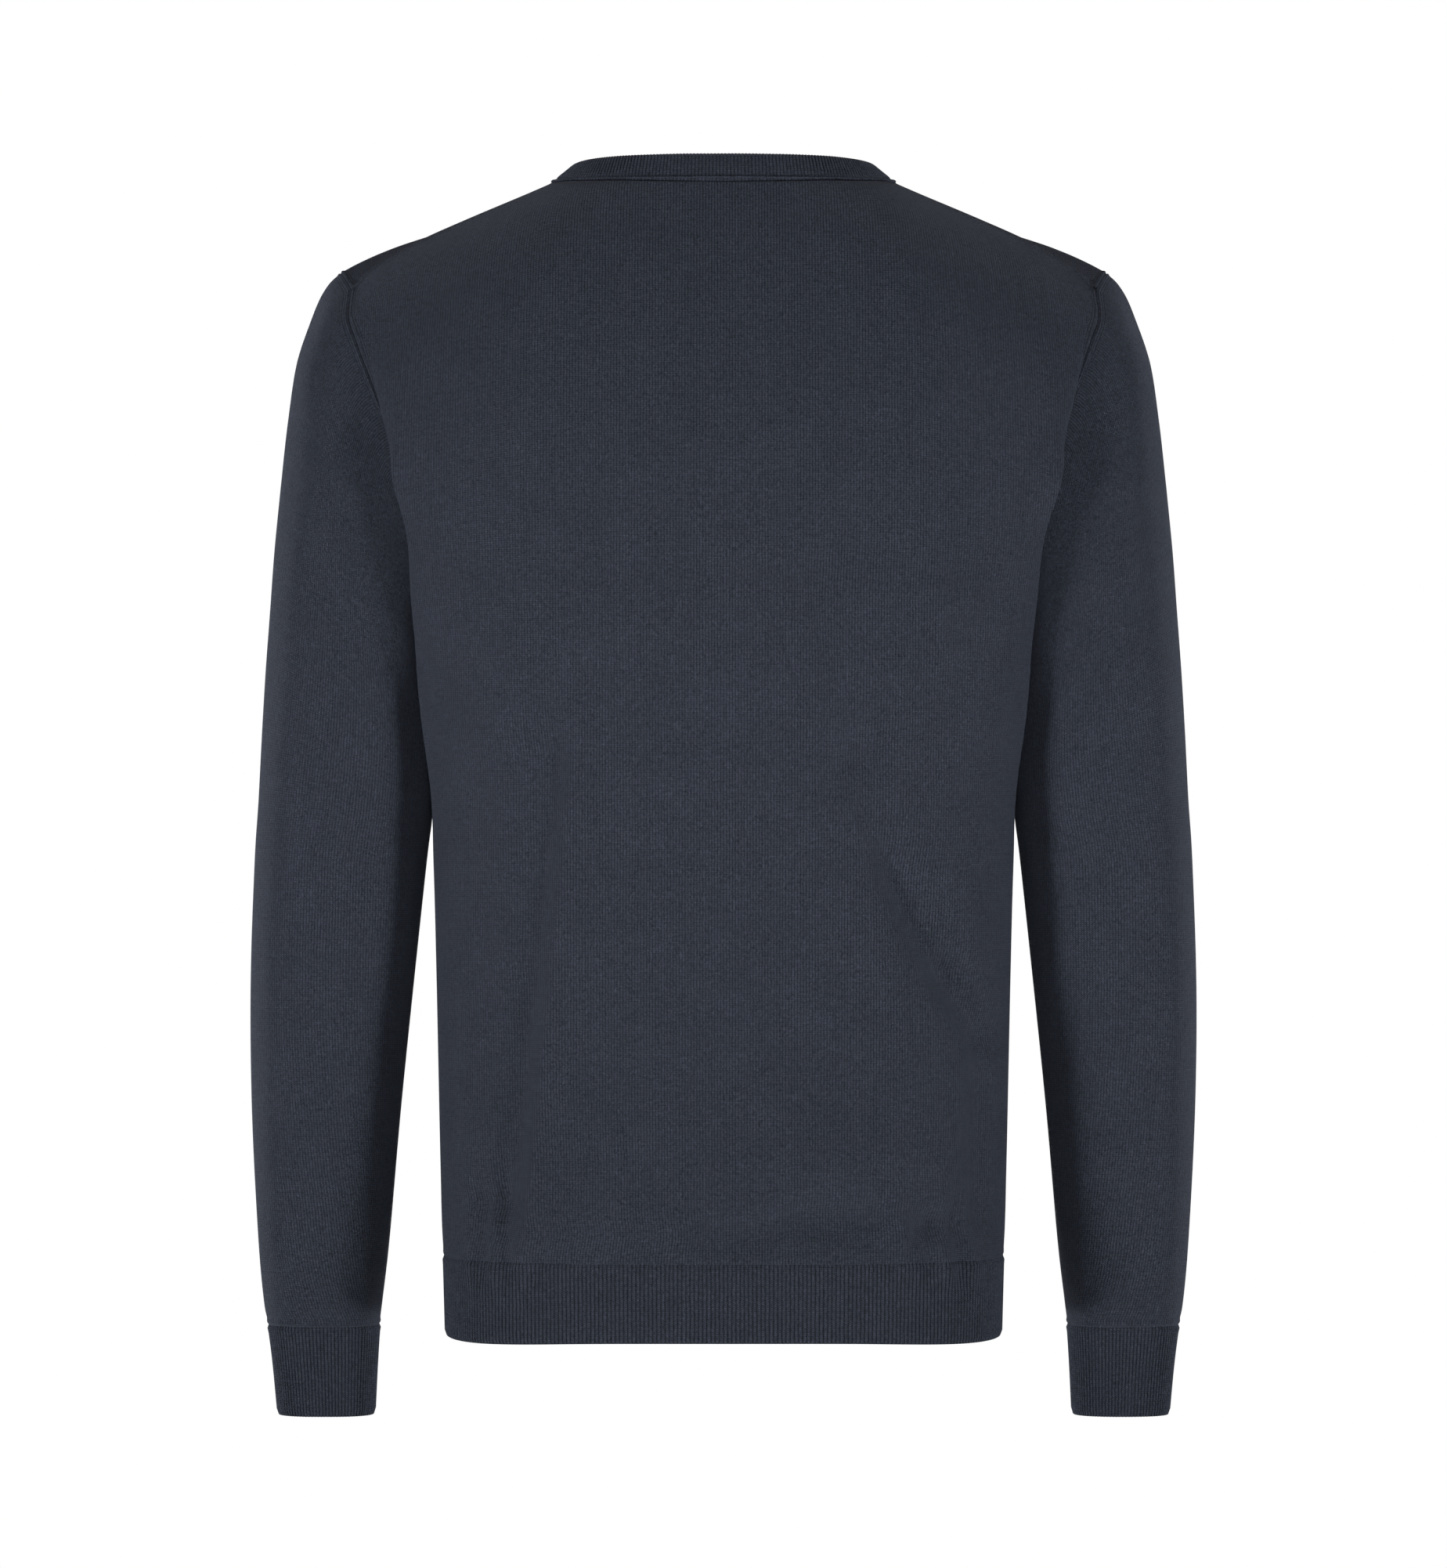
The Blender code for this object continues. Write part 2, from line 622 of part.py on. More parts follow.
def build():
    for old in list(bpy.data.objects):
        bpy.data.objects.remove(old)
    jersey = knit("jersey_knit", NAVY, 0.9)
    rib = knit("rib_knit", NAVY, 0.9)
    root = bpy.data.objects.new("sweater", None)
    bpy.context.scene.collection.objects.link(root)

    back_left, back_right = panel_half(1, "left"), panel_half(1, "right")
    front_half = panel_half(-1, "left")
    back, front = both_sides(back_left, back_right), both_sides(front_half, front_half)
    armhole = np.concatenate([front_half[LOWER_ROWS:, -1], back_left[-2:LOWER_ROWS:-1, -1]])
    sleeve = sleeve_grid(armhole)
    mirror = np.array([-1, 1, 1])
    columns = NECK_COLUMNS + SHOULDER_COLUMNS
    hem_back_half = np.stack([hem_edge(1, columns), back_left[0]])
    hem_front_half = np.stack([hem_edge(-1, columns), front_half[0]])
    hem_back, hem_front = both_sides(hem_back_half, hem_back_half), both_sides(hem_front_half, hem_front_half)
    neckband = neckband_grid(neck_loop(back, front))

    surfaces = [
        Surface("back_panel", "body", back, flip=True),
        Surface("front_panel", "body", front),
        Surface("hem_rib_back", "hem", hem_back, flip=True),
        Surface("hem_rib_front", "hem", hem_front),
        Surface("sleeve_left", "sleeve", sleeve[: CUFF_SEAM_RING + 1], round_it=True, flip=True),
        Surface("sleeve_right", "sleeve", sleeve[: CUFF_SEAM_RING + 1] * mirror, round_it=True),
        Surface("cuff_left", "cuff", sleeve[[CUFF_SEAM_RING, CUFF_END_RING]], round_it=True, flip=True),
        Surface("cuff_right", "cuff", sleeve[[CUFF_SEAM_RING, CUFF_END_RING]] * mirror, round_it=True),
        Surface("neckband", "neckband", neckband, round_it=True),
    ]
    shared_normals(surfaces)
    for surface in surfaces:
        heights = fold_heights(surface.points, surface.normals)
        surface.points = surface.points + heights[:, None] * surface.normals
    shared_normals(surfaces)

    pitches = {"hem": HEM_RIB_PITCH, "cuff": CUFF_RIB_PITCH}
    for surface in surfaces:
        if surface.group in pitches:
            ribbed_wall(surface, pitches[surface.group], rib, root)
        elif surface.group == "neckband":
            plain_wall(surface, RIB_WALL + RIB_RELIEF / 2, rib, root)
        else:
            plain_wall(surface, JERSEY_WALL, jersey, root)


build()
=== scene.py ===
"""The looks of the v-neck sweater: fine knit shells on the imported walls, ribs, seams, light and camera.

Lengths are in millimetres until a mesh is made, and lights and camera are in metres. X runs across (+X is
the wearer's left), the front faces -Y and Z is up. The shapes are worked out from the same tables of sizes
as the walls, on much finer grids. Each sewn piece is one shell.
"""

import math

import bpy
import numpy as np
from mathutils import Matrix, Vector, noise


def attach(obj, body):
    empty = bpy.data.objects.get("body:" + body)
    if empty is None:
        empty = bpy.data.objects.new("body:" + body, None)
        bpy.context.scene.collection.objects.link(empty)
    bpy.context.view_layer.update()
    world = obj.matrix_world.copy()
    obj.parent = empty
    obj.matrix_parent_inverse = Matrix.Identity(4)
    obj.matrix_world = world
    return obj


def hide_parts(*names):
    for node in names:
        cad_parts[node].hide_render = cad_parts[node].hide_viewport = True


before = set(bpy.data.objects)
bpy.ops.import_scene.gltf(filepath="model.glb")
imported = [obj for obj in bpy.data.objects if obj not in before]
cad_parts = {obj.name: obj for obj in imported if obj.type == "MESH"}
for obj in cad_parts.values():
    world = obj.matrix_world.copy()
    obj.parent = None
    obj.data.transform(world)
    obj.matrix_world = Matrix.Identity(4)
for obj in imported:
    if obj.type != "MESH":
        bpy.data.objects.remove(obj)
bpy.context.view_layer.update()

TO_METRES = 0.001
TINY = 1e-9

# Knit
JERSEY_THICKNESS = 1.5
RIB_THICKNESS = 1.5
RIB_RELIEF = 0.6
WALE = 1.7
COURSE = 1.2
HEM_RIB_PITCH = 2.4
CUFF_RIB_PITCH = 2.0
NECK_RIB_PITCH = 2.05
POINTS_A_RIB = 6
RIB_FLATNESS = 0.8
FASHIONED_EDGE = 6.0
JERSEY_BUMP = 0.5
RIB_BUMP = 0.35
FUZZ_BUMP = 0.25

# Levels of the body
UNDERARM_Z = -240
HEM_SEAM_Z = -628
HEM_Z = -673.5
SIDE_SEAM_Y = -5
BACK_SHOULDER_ROUNDNESS = 4
FRONT_SHOULDER_ROUNDNESS = 3.2
BODY_SQUARENESS = 2.5
HEM_SQUARENESS = 2.8
HEM_DROP = 2.2
HEM_DROP_PLACE = 0.66
HEM_DROP_SPREAD = 0.25
SLEEVE_SQUARENESS = 2.5
ARM_CLEARANCE = 3.5
ARM_BLEND = 3.0
FAR_OUT = 400
WIDTH_PASSES = 6
ARMHOLE_SHARE_POWERS = (2, 3, 1.3)

# Neck
NECK_HALF_WIDTH = 102
BACK_NECK_Y = 75
BACK_NECK_Z = -3.5
NECK_SHARE = 5 / 12
NECKBAND_WIDTH = 17.6
NECKBAND_LIFT = 0.1
BAND_STANDS_ABOVE_Z = -70
NECK_CURVE = 0.92
NECK_POINT_SPREAD = 0.2
NECK_POINT_ROUNDNESS = 2

# The way the neckband faces: outwards by the place on the seam, and up by an amount of its own
BAND_FACES_X = 0.34
BAND_FACES_UP = 55
BAND_UP_LOST_BY_Y = 0.29
BAND_UP_BY_Z = 0.2

# The neckband's ribs start above a plain trim, and a chain of linking loops lies on it
NECK_TRIM = 5.2
NECK_TRIM_BLEND = 1.5
NECK_TRIM_RELIEF = 0.15
CHAIN_ROW = 2
CHAIN_LIFT = 0.35
CHAIN_RADIUS = 0.75
CHAIN_NARROWEST = 0.55
CHAIN_SWELL = 0.45
CHAIN_STEPS_A_LOOP = 6
CHAIN_SIDES = 6

# How finely the shells are divided, with places added close to a seam so that it can sink in
COLUMNS = 72
LOWER_ROWS = 76
UPPER_ROWS = 60
RINGS_PER_ROW = 7
BAND_ROWS = 18
ARC_SAMPLES = 900
EVENLY_SPACED_RING = 11
COLUMNS_BY_SIDE = (0.0015, 0.003, 0.0045, 0.006, 0.008, 0.011)
ROWS_OVER_HEM = (0.7, 1.8)
RINGS_BY_ARMHOLE = (0.04, 0.08, 0.12, 0.17, 0.22, 0.3, 0.4, 0.55)
RINGS_BY_CUFF = (0.05, 0.12)
SHARP_EDGE_DEGREES = 70
SAME_PLACE_DECIMALS = 3

# Seams: a groove where two pieces meet, and beside it a raised edge
GROOVE_DEPTH = {"body": 0.4, "sleeve": 0.4, "hem": 1.0, "cuff": 0.9, "neckband": 0.4}
GROOVE_WIDTH = 0.7
SEAM_RIDGE = {"body": 0.7, "sleeve": 0.5, "hem": 0.3, "cuff": 0.3, "neckband": 0.2}
SEAM_RIDGE_PLACE = 1.7
SEAM_RIDGE_WIDTH = 1.1
RIDGE_KEPT_LOW_ON_BODY = 0.3
EDGE_ROLL = 0.9
EDGE_ROLL_WIDTH = 1.6
LEAST_MITRE_COSINE = 0.5
FAR_FROM_EDGE = 1e3

# Slow swells of the cloth
BROAD_SWELL = 46
BROAD_SWELL_HEIGHT = 0.5
NARROW_SWELL = 17
NARROW_SWELL_HEIGHT = 0.22

# Smoothing of a panel, across its columns above the underarm and along them near the underarm's level
SMOOTHING_PASSES = 60
SMOOTHING_SHARE = 0.5
ACROSS_SETS_IN_ROWS = 6
ACROSS_FULL_FROM_EDGE = 22
ALONG_REACH = 34
ALONG_FULL_FROM_SIDE = 30


def table(names, *rows):
    """A table of sizes as a dictionary of columns, its rows sorted by the first column."""
    values = np.array(sorted(rows), float)
    return dict(zip(names.split(), values.T))


BODY = table(
    "z half_width back_y front_y",
    (-240, 185.5, 117, -121),
    (-271, 181.0, 115, -121),
    (-315, 176.4, 111, -120),
    (-360, 171.0, 107, -119),
    (-398, 170.0, 104, -118),
    (-490, 168.0, 101, -116),
    (-582, 166.0, 104, -116),
    (-612, 165.2, 104, -115),
    (-628, 164.3, 102, -113),
    (-674, 163.0, 102, -112),
)

CENTRE_BACK = table(
    "z y",
    (-240, 117),
    (-200, 118),
    (-160, 117),
    (-120, 112),
    (-90, 106),
    (-60, 98),
    (-30, 87),
    (BACK_NECK_Z, BACK_NECK_Y),
)

# From the point of the V to the high point of the shoulder
V_EDGE = table(
    "along x y z",
    (0.00, 0, -118, -185),
    (0.25, 29, -112, -133),
    (0.50, 56, -97, -84),
    (0.75, 81, -65, -37),
    (0.92, 98, -24, -8),
    (1.00, NECK_HALF_WIDTH, 0, 0),
)

# The seam lies behind the ridge of the shoulder
SHOULDER_SEAM = table(
    "along x y z",
    (0.00, NECK_HALF_WIDTH, 0, 0),
    (0.38, 150, 2, -20.8),
    (0.66, 184, 6, -37),
    (0.86, 204, 14, -50),
    (1.00, 217.5, 22, -63),
)

# Armhole edges from the underarm (along 0) up to the end of the shoulder seam (along 1)
ARMHOLE_BACK = table(
    "along x y z",
    (0.04, 165.5, 19, -234),
    (0.15, 171, 38, -215),
    (0.34, 181, 50, -180),
    (0.53, 194, 52.5, -145),
    (0.71, 207, 50, -112),
    (0.83, 214.5, 43, -92),
    (0.90, 218.5, 34, -80.5),
    (1.00, 217.5, 22, -63),
)
ARMHOLE_FRONT = table(
    "along x y z",
    (0.04, 165.5, -29, -234),
    (0.17, 172, -46, -208),
    (0.37, 184, -53, -167),
    (0.56, 198, -51, -127),
    (0.72, 211, -42, -95),
    (0.84, 221.5, -24, -67),
    (0.92, 225, 0, -52),
    (1.00, 217.5, 22, -63),
)

# How far the panel is pushed out beside the armhole, where it folds over the sleeve
FOLD_SPREAD = 0.13
FOLD_REACH = table(
    "up place back_left back_right front",
    (0.00, 0.84, 0, 0, 0),
    (0.16, 0.85, 7, 10, 3),
    (0.34, 0.86, 20.5, 27, 6),
    (0.45, 0.89, 19, 25, 7),
    (0.56, 0.91, 15, 21.5, 6),
    (0.66, 0.93, 7.5, 14, 4),
    (0.76, 0.95, 1.5, 5, 2),
    (0.86, 0.95, 0, 0, 0),
    (1.00, 0.95, 0, 0, 0),
)

# Rings down the sleeve, each tilted from its outer to its inner point
SLEEVE = table(
    "ring outer_x outer_z inner_x inner_z centre_y half_depth",
    (0, 225.0, -53, 163.0, -240, -2, 53.5),
    (1, 233.4, -60.0, 164.3, -246, -4, 55.0),
    (2, 241.4, -73.5, 165.3, -252, -6, 56.5),
    (3, 251.5, -103, 166.6, -262, -8, 58.0),
    (4, 256.7, -140, 167.6, -273, -10, 58.5),
    (5, 260.4, -177, 168.2, -285, -11, 58.5),
    (6, 264.1, -214, 168.7, -299, -12, 58.0),
    (7, 266.9, -251, 169.1, -315, -13, 57.5),
    (8, 269.6, -287, 169.6, -332, -14, 57.0),
    (9, 271.9, -324, 170.4, -350, -16, 56.5),
    (10, 273.9, -361, 171.9, -372, -18, 56.0),
    (11, 276.4, -398, 175.2, -398, -20, 55.0),
    (12, 279.1, -472, 183.3, -472, -25, 52.5),
    (13, 278.7, -546, 191.1, -546, -32, 49.0),
    (14, 275.4, -621, 197.9, -621, -39, 42.0),
    (15, 272.4, -658, 202.3, -658, -42.5, 36.0),
    (16, 269.9, -672, 204.0, -672, -44, 32.5),
    (17, 267.0, -695, 205.6, -695, -46, 30.0),
    (18, 264.3, -725.6, 207.2, -725.6, -49, 28.5),
)
CUFF_SEAM_RING = 16
CUFF_END_RING = 18
LOOP_SHAPE_KEPT = table("ring kept", (0, 1.0), (1, 0.75), (2, 0.5), (3, 0.22), (4, 0.08), (5, 0), (18, 0))

# Folds as soft ridges (height over 0) and troughs, from a top point to a low one. left_width is the width of
# the slope on the wearer's left (+X) of a fold that runs down, right_width that of the other slope. A fold
# fades in and out over its end share.
FOLD_END_SHARE = 0.25
FOLD_COLUMNS = "top_x top_z low_x low_z left_width right_width height"
BACK_FOLDS = table(
    FOLD_COLUMNS,
    # Down the body
    (-62, -320, -99, -405, 10, 17, -4.5),
    (-89, -384, -130, -470, 10, 15, -8.0),
    (-120, -449, -162, -512, 10, 13, -10.0),
    (-153, -488, -150, -632, 10, 10, -8.5),
    (-44, -205, -91, -368, 8, 17, -3.8),
    (-70, -330, -112, -560, 30, 10, 1.8),
    (95, -300, 113, -455, 20, 9, -4.6),
    (108, -415, 129, -640, 18, 9, -5.4),
    (83, -300, 98, -480, 7, 7, 2.2),
    (96, -440, 117, -650, 7, 6, 2.6),
    (141, -310, 138, -570, 11, 11, -1.8),
    (49, -255, 50, -440, 14, 12, -1.6),
    (21, -285, 23, -460, 3, 3, 0.35),
    (-120, -205, -128, -300, 7, 6, 1.6),
    (-34, -205, -38, -290, 9, 9, 1.0),
    (61, -520, 61, -610, 12, 11, 2.0),
    (49, -545, 48, -640, 6, 6, -2.0),
    (19, -530, 18, -620, 15, 14, 1.8),
    # Across the body, above the hem
    (-26, -604, -104, -600, 13, 11, -7.5),
    (24, -612, -40, -608, 11, 10, -6.5),
    (-104, -608, -140, -606, 10, 9, -5.4),
    (96, -608, 62, -612, 9, 8, -2.2),
    (-20, -572, -120, -566, 16, 16, 2.2),
    (152, -590, 118, -596, 9, 8, -2.6),
    # Down the sleeves
    (-206, -262, -176, -375, 8, 22, 1.8),
    (197, -272, 183, -375, 22, 8, 1.6),
    (188, -285, 176, -400, 12, 12, -2.4),
    (-189, -285, -176, -400, 12, 12, -2.0),
    (214, -400, 196, -520, 12, 12, -1.8),
    (-212, -410, -198, -540, 12, 12, -1.8),
    # Short ones down into the hem
    (-134, -570, -138, -650, 4, 5, -2.4),
    (-128, -578, -130, -650, 4, 4, 1.4),
    (-144, -565, -146, -650, 4, 4, 1.4),
    (-118, -590, -120, -645, 4, 4, -1.6),
    (130, -562, 126, -650, 4, 5, -2.2),
    (135, -590, 133, -648, 3, 3, 1.2),
    (141, -580, 139, -646, 5, 4, -1.7),
    (148, -570, 147, -648, 4, 3, 1.4),
    (104, -590, 109, -648, 4, 4, -1.4),
    (-70, -560, -74, -650, 7, 9, 1.0),
    (-98, -566, -104, -650, 7, 9, 1.1),
    # From under the arms
    (164, -225, 128, -270, 7, 7, -1.0),
    (160, -260, 118, -312, 8, 8, -1.1),
    (-170, -225, -132, -280, 7, 7, -1.1),
    (-162, -262, -120, -325, 9, 9, -1.2),
    (-150, -330, -110, -372, 8, 8, 0.8),
    # Faint ones on the sleeves
    (204, -230, 190, -300, 6, 6, -1.4),
    (-214, -230, -196, -300, 6, 6, -1.4),
    (238, -150, 222, -250, 9, 9, 1.0),
    (-240, -160, -226, -260, 9, 9, 1.0),
    (246, -420, 210, -466, 8, 8, -1.2),
    (256, -470, 214, -508, 8, 8, 1.0),
    (254, -520, 214, -548, 7, 7, -1.0),
    (-250, -440, -212, -480, 8, 8, -1.2),
    (-258, -490, -216, -522, 8, 8, 1.0),
    (-256, -545, -220, -566, 7, 7, -1.0),
    (262, -590, 226, -606, 7, 7, -0.9),
    (-262, -600, -228, -618, 7, 7, -0.9),
    (256, -640, 214, -650, 6, 6, 0.8),
    (-256, -640, -216, -648, 6, 6, 0.8),
    # Across the shoulder blades
    (120, -60, 60, -110, 16, 16, -0.9),
    (-126, -64, -66, -118, 16, 16, -0.9),
)
FRONT_FOLDS = table(
    FOLD_COLUMNS,
    # Down the body
    (58, -310, 96, -405, 16, 10, -4.5),
    (86, -385, 126, -475, 15, 10, -7.0),
    (116, -455, 152, -530, 13, 10, -7.5),
    (-86, -290, -108, -450, 9, 20, -4.6),
    (-103, -410, -124, -640, 9, 18, -5.2),
    (150, -190, 92, -330, 18, 14, 3.2),
    (-152, -185, -88, -315, 16, 18, 3.0),
    (44, -215, 84, -360, 16, 8, -3.4),
    (-40, -240, -66, -390, 8, 16, -3.0),
    (-60, -430, -72, -620, 14, 12, -2.8),
    # Down the sleeves
    (232, -380, 214, -470, 12, 12, -1.8),
    (-230, -370, -216, -480, 12, 12, -1.8),
    # Across the body, above the hem
    (50, -612, 140, -606, 10, 10, -6.0),
    (-20, -612, -100, -608, 10, 10, -5.0),
    # From under the arms, and faint ones down the body
    (166, -222, 120, -268, 7, 7, -1.1),
    (160, -256, 112, -310, 9, 9, -1.1),
    (-168, -224, -124, -274, 7, 7, -1.1),
    (-158, -262, -108, -322, 9, 9, -1.0),
    (40, -230, 62, -380, 12, 12, 0.9),
    (-34, -240, -50, -400, 12, 12, -0.8),
    # Short ones down into the hem
    (120, -560, 124, -650, 6, 5, -1.2),
    (-128, -570, -130, -650, 5, 6, -1.2),
    (60, -580, 64, -650, 8, 8, 1.0),
    (-18, -570, -14, -650, 9, 9, 1.0),
    # Faint ones on the sleeves
    (250, -430, 208, -470, 8, 8, 1.1),
    (254, -480, 212, -512, 8, 8, -1.1),
    (-250, -430, -208, -476, 8, 8, 1.1),
    (-256, -486, -214, -520, 8, 8, -1.1),
    (256, -540, 216, -560, 7, 7, 1.0),
    (-256, -548, -216, -570, 7, 7, 1.0),
    (240, -150, 214, -220, 9, 9, 1.0),
    (-240, -150, -216, -226, 9, 9, 1.0),
    # Beside the V
    (70, -130, 110, -210, 12, 12, -0.8),
    (-74, -128, -112, -206, 12, 12, -0.8),
)


def smooth(curve, column, at):
    """Reads a column of a table at given values of its first column, on a smooth curve through its rows."""
    keys = next(iter(curve.values()))
    values = curve[column]
    step = np.diff(keys)
    slope = np.diff(values) / step
    tangent = np.empty(len(keys))
    tangent[0], tangent[-1] = slope[0], slope[-1]
    tangent[1:-1] = (slope[:-1] * step[1:] + slope[1:] * step[:-1]) / (step[1:] + step[:-1])
    at = np.clip(np.asarray(at, float), keys[0], keys[-1])
    i = np.clip(np.searchsorted(keys, at, side="right") - 1, 0, len(keys) - 2)
    u = (at - keys[i]) / step[i]
    rise = (3 - 2 * u) * u * u
    ease_in = u * (1 - u) ** 2 * step[i] * tangent[i]
    ease_out = u * u * (u - 1) * step[i] * tangent[i + 1]
    return values[i] + rise * (values[i + 1] - values[i]) + ease_in + ease_out


def curve_points(curve, at):
    """Points x, y, z of a table at the given places along it."""
    return np.stack([smooth(curve, axis, at) for axis in "xyz"], axis=-1)


def unit(vectors):
    return vectors / np.maximum(np.linalg.norm(vectors, axis=-1, keepdims=True), TINY)


def run_length(points, axis=0):
    """Distance run along a line of points, starting at 0."""
    steps = np.linalg.norm(np.diff(points, axis=axis), axis=-1)
    return np.concatenate([np.zeros_like(np.take(steps, [0], axis)), np.cumsum(steps, axis=axis)], axis=axis)


def points_at(places, length, points):
    """Points at the given lengths along a line of points whose own lengths are given."""
    return np.stack([np.interp(places, length, column) for column in points.T], axis=-1)


# ---- Forms: the same as the walls', at any fineness ----


def sleeve_ring(ring, angle):
    """Points of a ring of the left sleeve: angle 0 is its outer side, a quarter turn its back."""
    read = {name: smooth(SLEEVE, name, ring) for name in SLEEVE if name != "ring"}
    power = 2 / SLEEVE_SQUARENESS
    across = np.sign(np.cos(angle)) * np.abs(np.cos(angle)) ** power
    deep = np.sign(np.sin(angle)) * np.abs(np.sin(angle)) ** power
    return np.stack(
        [
            (read["outer_x"] + read["inner_x"] + across * (read["outer_x"] - read["inner_x"])) / 2,
            read["centre_y"] + deep * read["half_depth"],
            (read["outer_z"] + read["inner_z"] + across * (read["outer_z"] - read["inner_z"])) / 2,
        ],
        axis=-1,
    )


def sleeve_inner_x(y, z):
    """How far in the sleeve reaches at a depth and a height below the underarm; far out where it isn't."""
    columns = ("inner_z", "inner_x", "outer_x", "centre_y", "half_depth")
    by_height = {name: SLEEVE[name][::-1] for name in columns}
    inner = smooth(by_height, "inner_x", z)
    half_width = (smooth(by_height, "outer_x", z) - inner) / 2
    deep = np.abs((y - smooth(by_height, "centre_y", z)) / smooth(by_height, "half_depth", z))
    reach = np.clip(1 - deep**SLEEVE_SQUARENESS, 0, 1) ** (1 / SLEEVE_SQUARENESS)
    return np.where(deep < 1, inner + half_width * (1 - reach), FAR_OUT)


def body_ring(z, face, across):
    """Half a ring of the body, from the centre of the back (face 1) or front (face -1) to the side seam."""
    centre = smooth(BODY, "back_y" if face > 0 else "front_y", z)
    angle = np.linspace(0, np.pi / 2, ARC_SAMPLES)
    power = 2 / np.interp(z, (HEM_Z, UNDERARM_Z), (HEM_SQUARENESS, BODY_SQUARENESS))
    y = SIDE_SEAM_Y + (centre - SIDE_SEAM_Y) * np.cos(angle) ** power
    limit = sleeve_inner_x(y, z) - ARM_CLEARANCE
    width = target = smooth(BODY, "half_width", z)
    for _ in range(WIDTH_PASSES):
        x = width * np.sin(angle) ** power
        x = -ARM_BLEND * np.log(np.exp(-x / ARM_BLEND) + np.exp(-limit / ARM_BLEND))
        width += target - x.max()
    x[0] = 0
    points = np.stack([x, y, np.full_like(x, z)], axis=-1)
    length = run_length(points)
    return points_at(across * length[-1], length, points)


def hem_edge(face, across):
    """Half of the hem's free edge, which hangs a little lower between its middle and the side seam."""
    edge = body_ring(HEM_Z, face, across)
    edge[:, 2] -= HEM_DROP * np.exp(-(((across - HEM_DROP_PLACE) / HEM_DROP_SPREAD) ** 2))
    return edge


def back_neck(along):
    """The neck seam across the back, from its centre to the high point of the shoulder."""
    turn = along * np.pi / 2
    x = NECK_HALF_WIDTH * np.sin(turn) ** NECK_CURVE
    y = BACK_NECK_Y * np.cos(turn) ** NECK_CURVE
    return np.stack([x, y, BACK_NECK_Z * np.cos(turn)], axis=-1)


def armhole_with_underarm(face, underarm):
    """The armhole edge of a panel, with its lowest point put where the ring under the arm ends."""
    edge = ARMHOLE_BACK if face > 0 else ARMHOLE_FRONT
    lowest = (0, *underarm)
    return {name: np.concatenate([[first], values]) for first, (name, values) in zip(lowest, edge.items())}


def upper_panel(face, side, across, up):
    """Half of a panel above the underarm: rows of points go up, columns go from the centre to the armhole."""
    base = body_ring(UNDERARM_Z, face, across)
    in_neck = across < NECK_SHARE - TINY
    along_neck = across[in_neck] / NECK_SHARE
    neck = back_neck(along_neck) if face > 0 else curve_points(V_EDGE, along_neck)
    along_shoulder = (across[~in_neck] - NECK_SHARE) / (1 - NECK_SHARE)
    top = np.concatenate([neck, curve_points(SHOULDER_SEAM, along_shoulder)])
    armhole = curve_points(armhole_with_underarm(face, base[-1]), up)
    if face > 0:
        z = UNDERARM_Z + up * (BACK_NECK_Z - UNDERARM_Z)
        centre = np.stack([0 * z, smooth(CENTRE_BACK, "y", z), z], axis=-1)
    else:
        centre = base[0] + up[:, None] * (neck[0] - base[0])

    # The top row is reached evenly in x and z, and late in y, which rounds the shoulder.
    by_neck_point = np.exp(-(((across - NECK_SHARE) / NECK_POINT_SPREAD) ** 2))
    back_roundness = BACK_SHOULDER_ROUNDNESS + NECK_POINT_ROUNDNESS * by_neck_point
    roundness = back_roundness if face > 0 else np.full_like(across, FRONT_SHOULDER_ROUNDNESS)
    late = 1 - np.sqrt(1 - up[:, None] ** roundness)
    even = np.broadcast_to(up[:, None], late.shape)
    rise = np.stack([even, late, even], axis=-1)
    grid = (1 - rise) * base[None] + rise * top[None]

    # What the centre line and the armhole still lack is shared out over the columns beside them.
    to_centre = (centre - grid[:, 0])[:, None, :]
    to_armhole = (armhole - grid[:, -1])[:, None, :]
    share = across[None, :, None]
    grid = grid + (1 - share) * to_centre + share ** np.array(ARMHOLE_SHARE_POWERS) * to_armhole
    return add_arm_fold(grid, across, up, f"back_{side}" if face > 0 else "front")


def add_arm_fold(grid, across, up, column):
    """Pushes the panel out beside the armhole, where it folds over the sleeve."""
    reach = smooth(FOLD_REACH, column, up)[:, None]
    place = smooth(FOLD_REACH, "place", up)[:, None]
    shown = np.exp(-(((across - place) / FOLD_SPREAD) ** 2)) * np.minimum(1, (1 - across) / (1 - place))
    grid[:, :, 0] += reach * shown
    return grid


def sleeve_rings(armhole, rings):
    """Rings of the left sleeve, the first one on the armhole's own points."""
    first = {name: SLEEVE[name][0] for name in SLEEVE}
    middle = np.array([first["outer_x"] + first["inner_x"], first["outer_z"] + first["inner_z"]]) / 2
    half = np.array([first["outer_x"] - first["inner_x"], first["outer_z"] - first["inner_z"]]) / 2
    across = (armhole[:, [0, 2]] - middle) @ half / (half @ half)
    deep = (armhole[:, 1] - first["centre_y"]) / first["half_depth"]
    power = SLEEVE_SQUARENESS / 2
    angle = np.arctan2(np.sign(deep) * np.abs(deep) ** power, np.sign(across) * np.abs(across) ** power)
    followed = np.unwrap(angle)
    whole_turn = np.linspace(0, 2 * np.pi, len(angle), endpoint=False)
    turns = followed[0] + np.sign(followed[-1] - followed[0]) * whole_turn
    misfit = armhole - sleeve_ring(0, angle)
    kept = np.interp(rings, LOOP_SHAPE_KEPT["ring"], LOOP_SHAPE_KEPT["kept"])
    made = []
    for ring, keep in zip(rings, kept):
        at = followed + (turns - followed) * min(1, ring / EVENLY_SPACED_RING)
        made.append(sleeve_ring(ring, at) + keep * misfit)
    return np.stack(made)


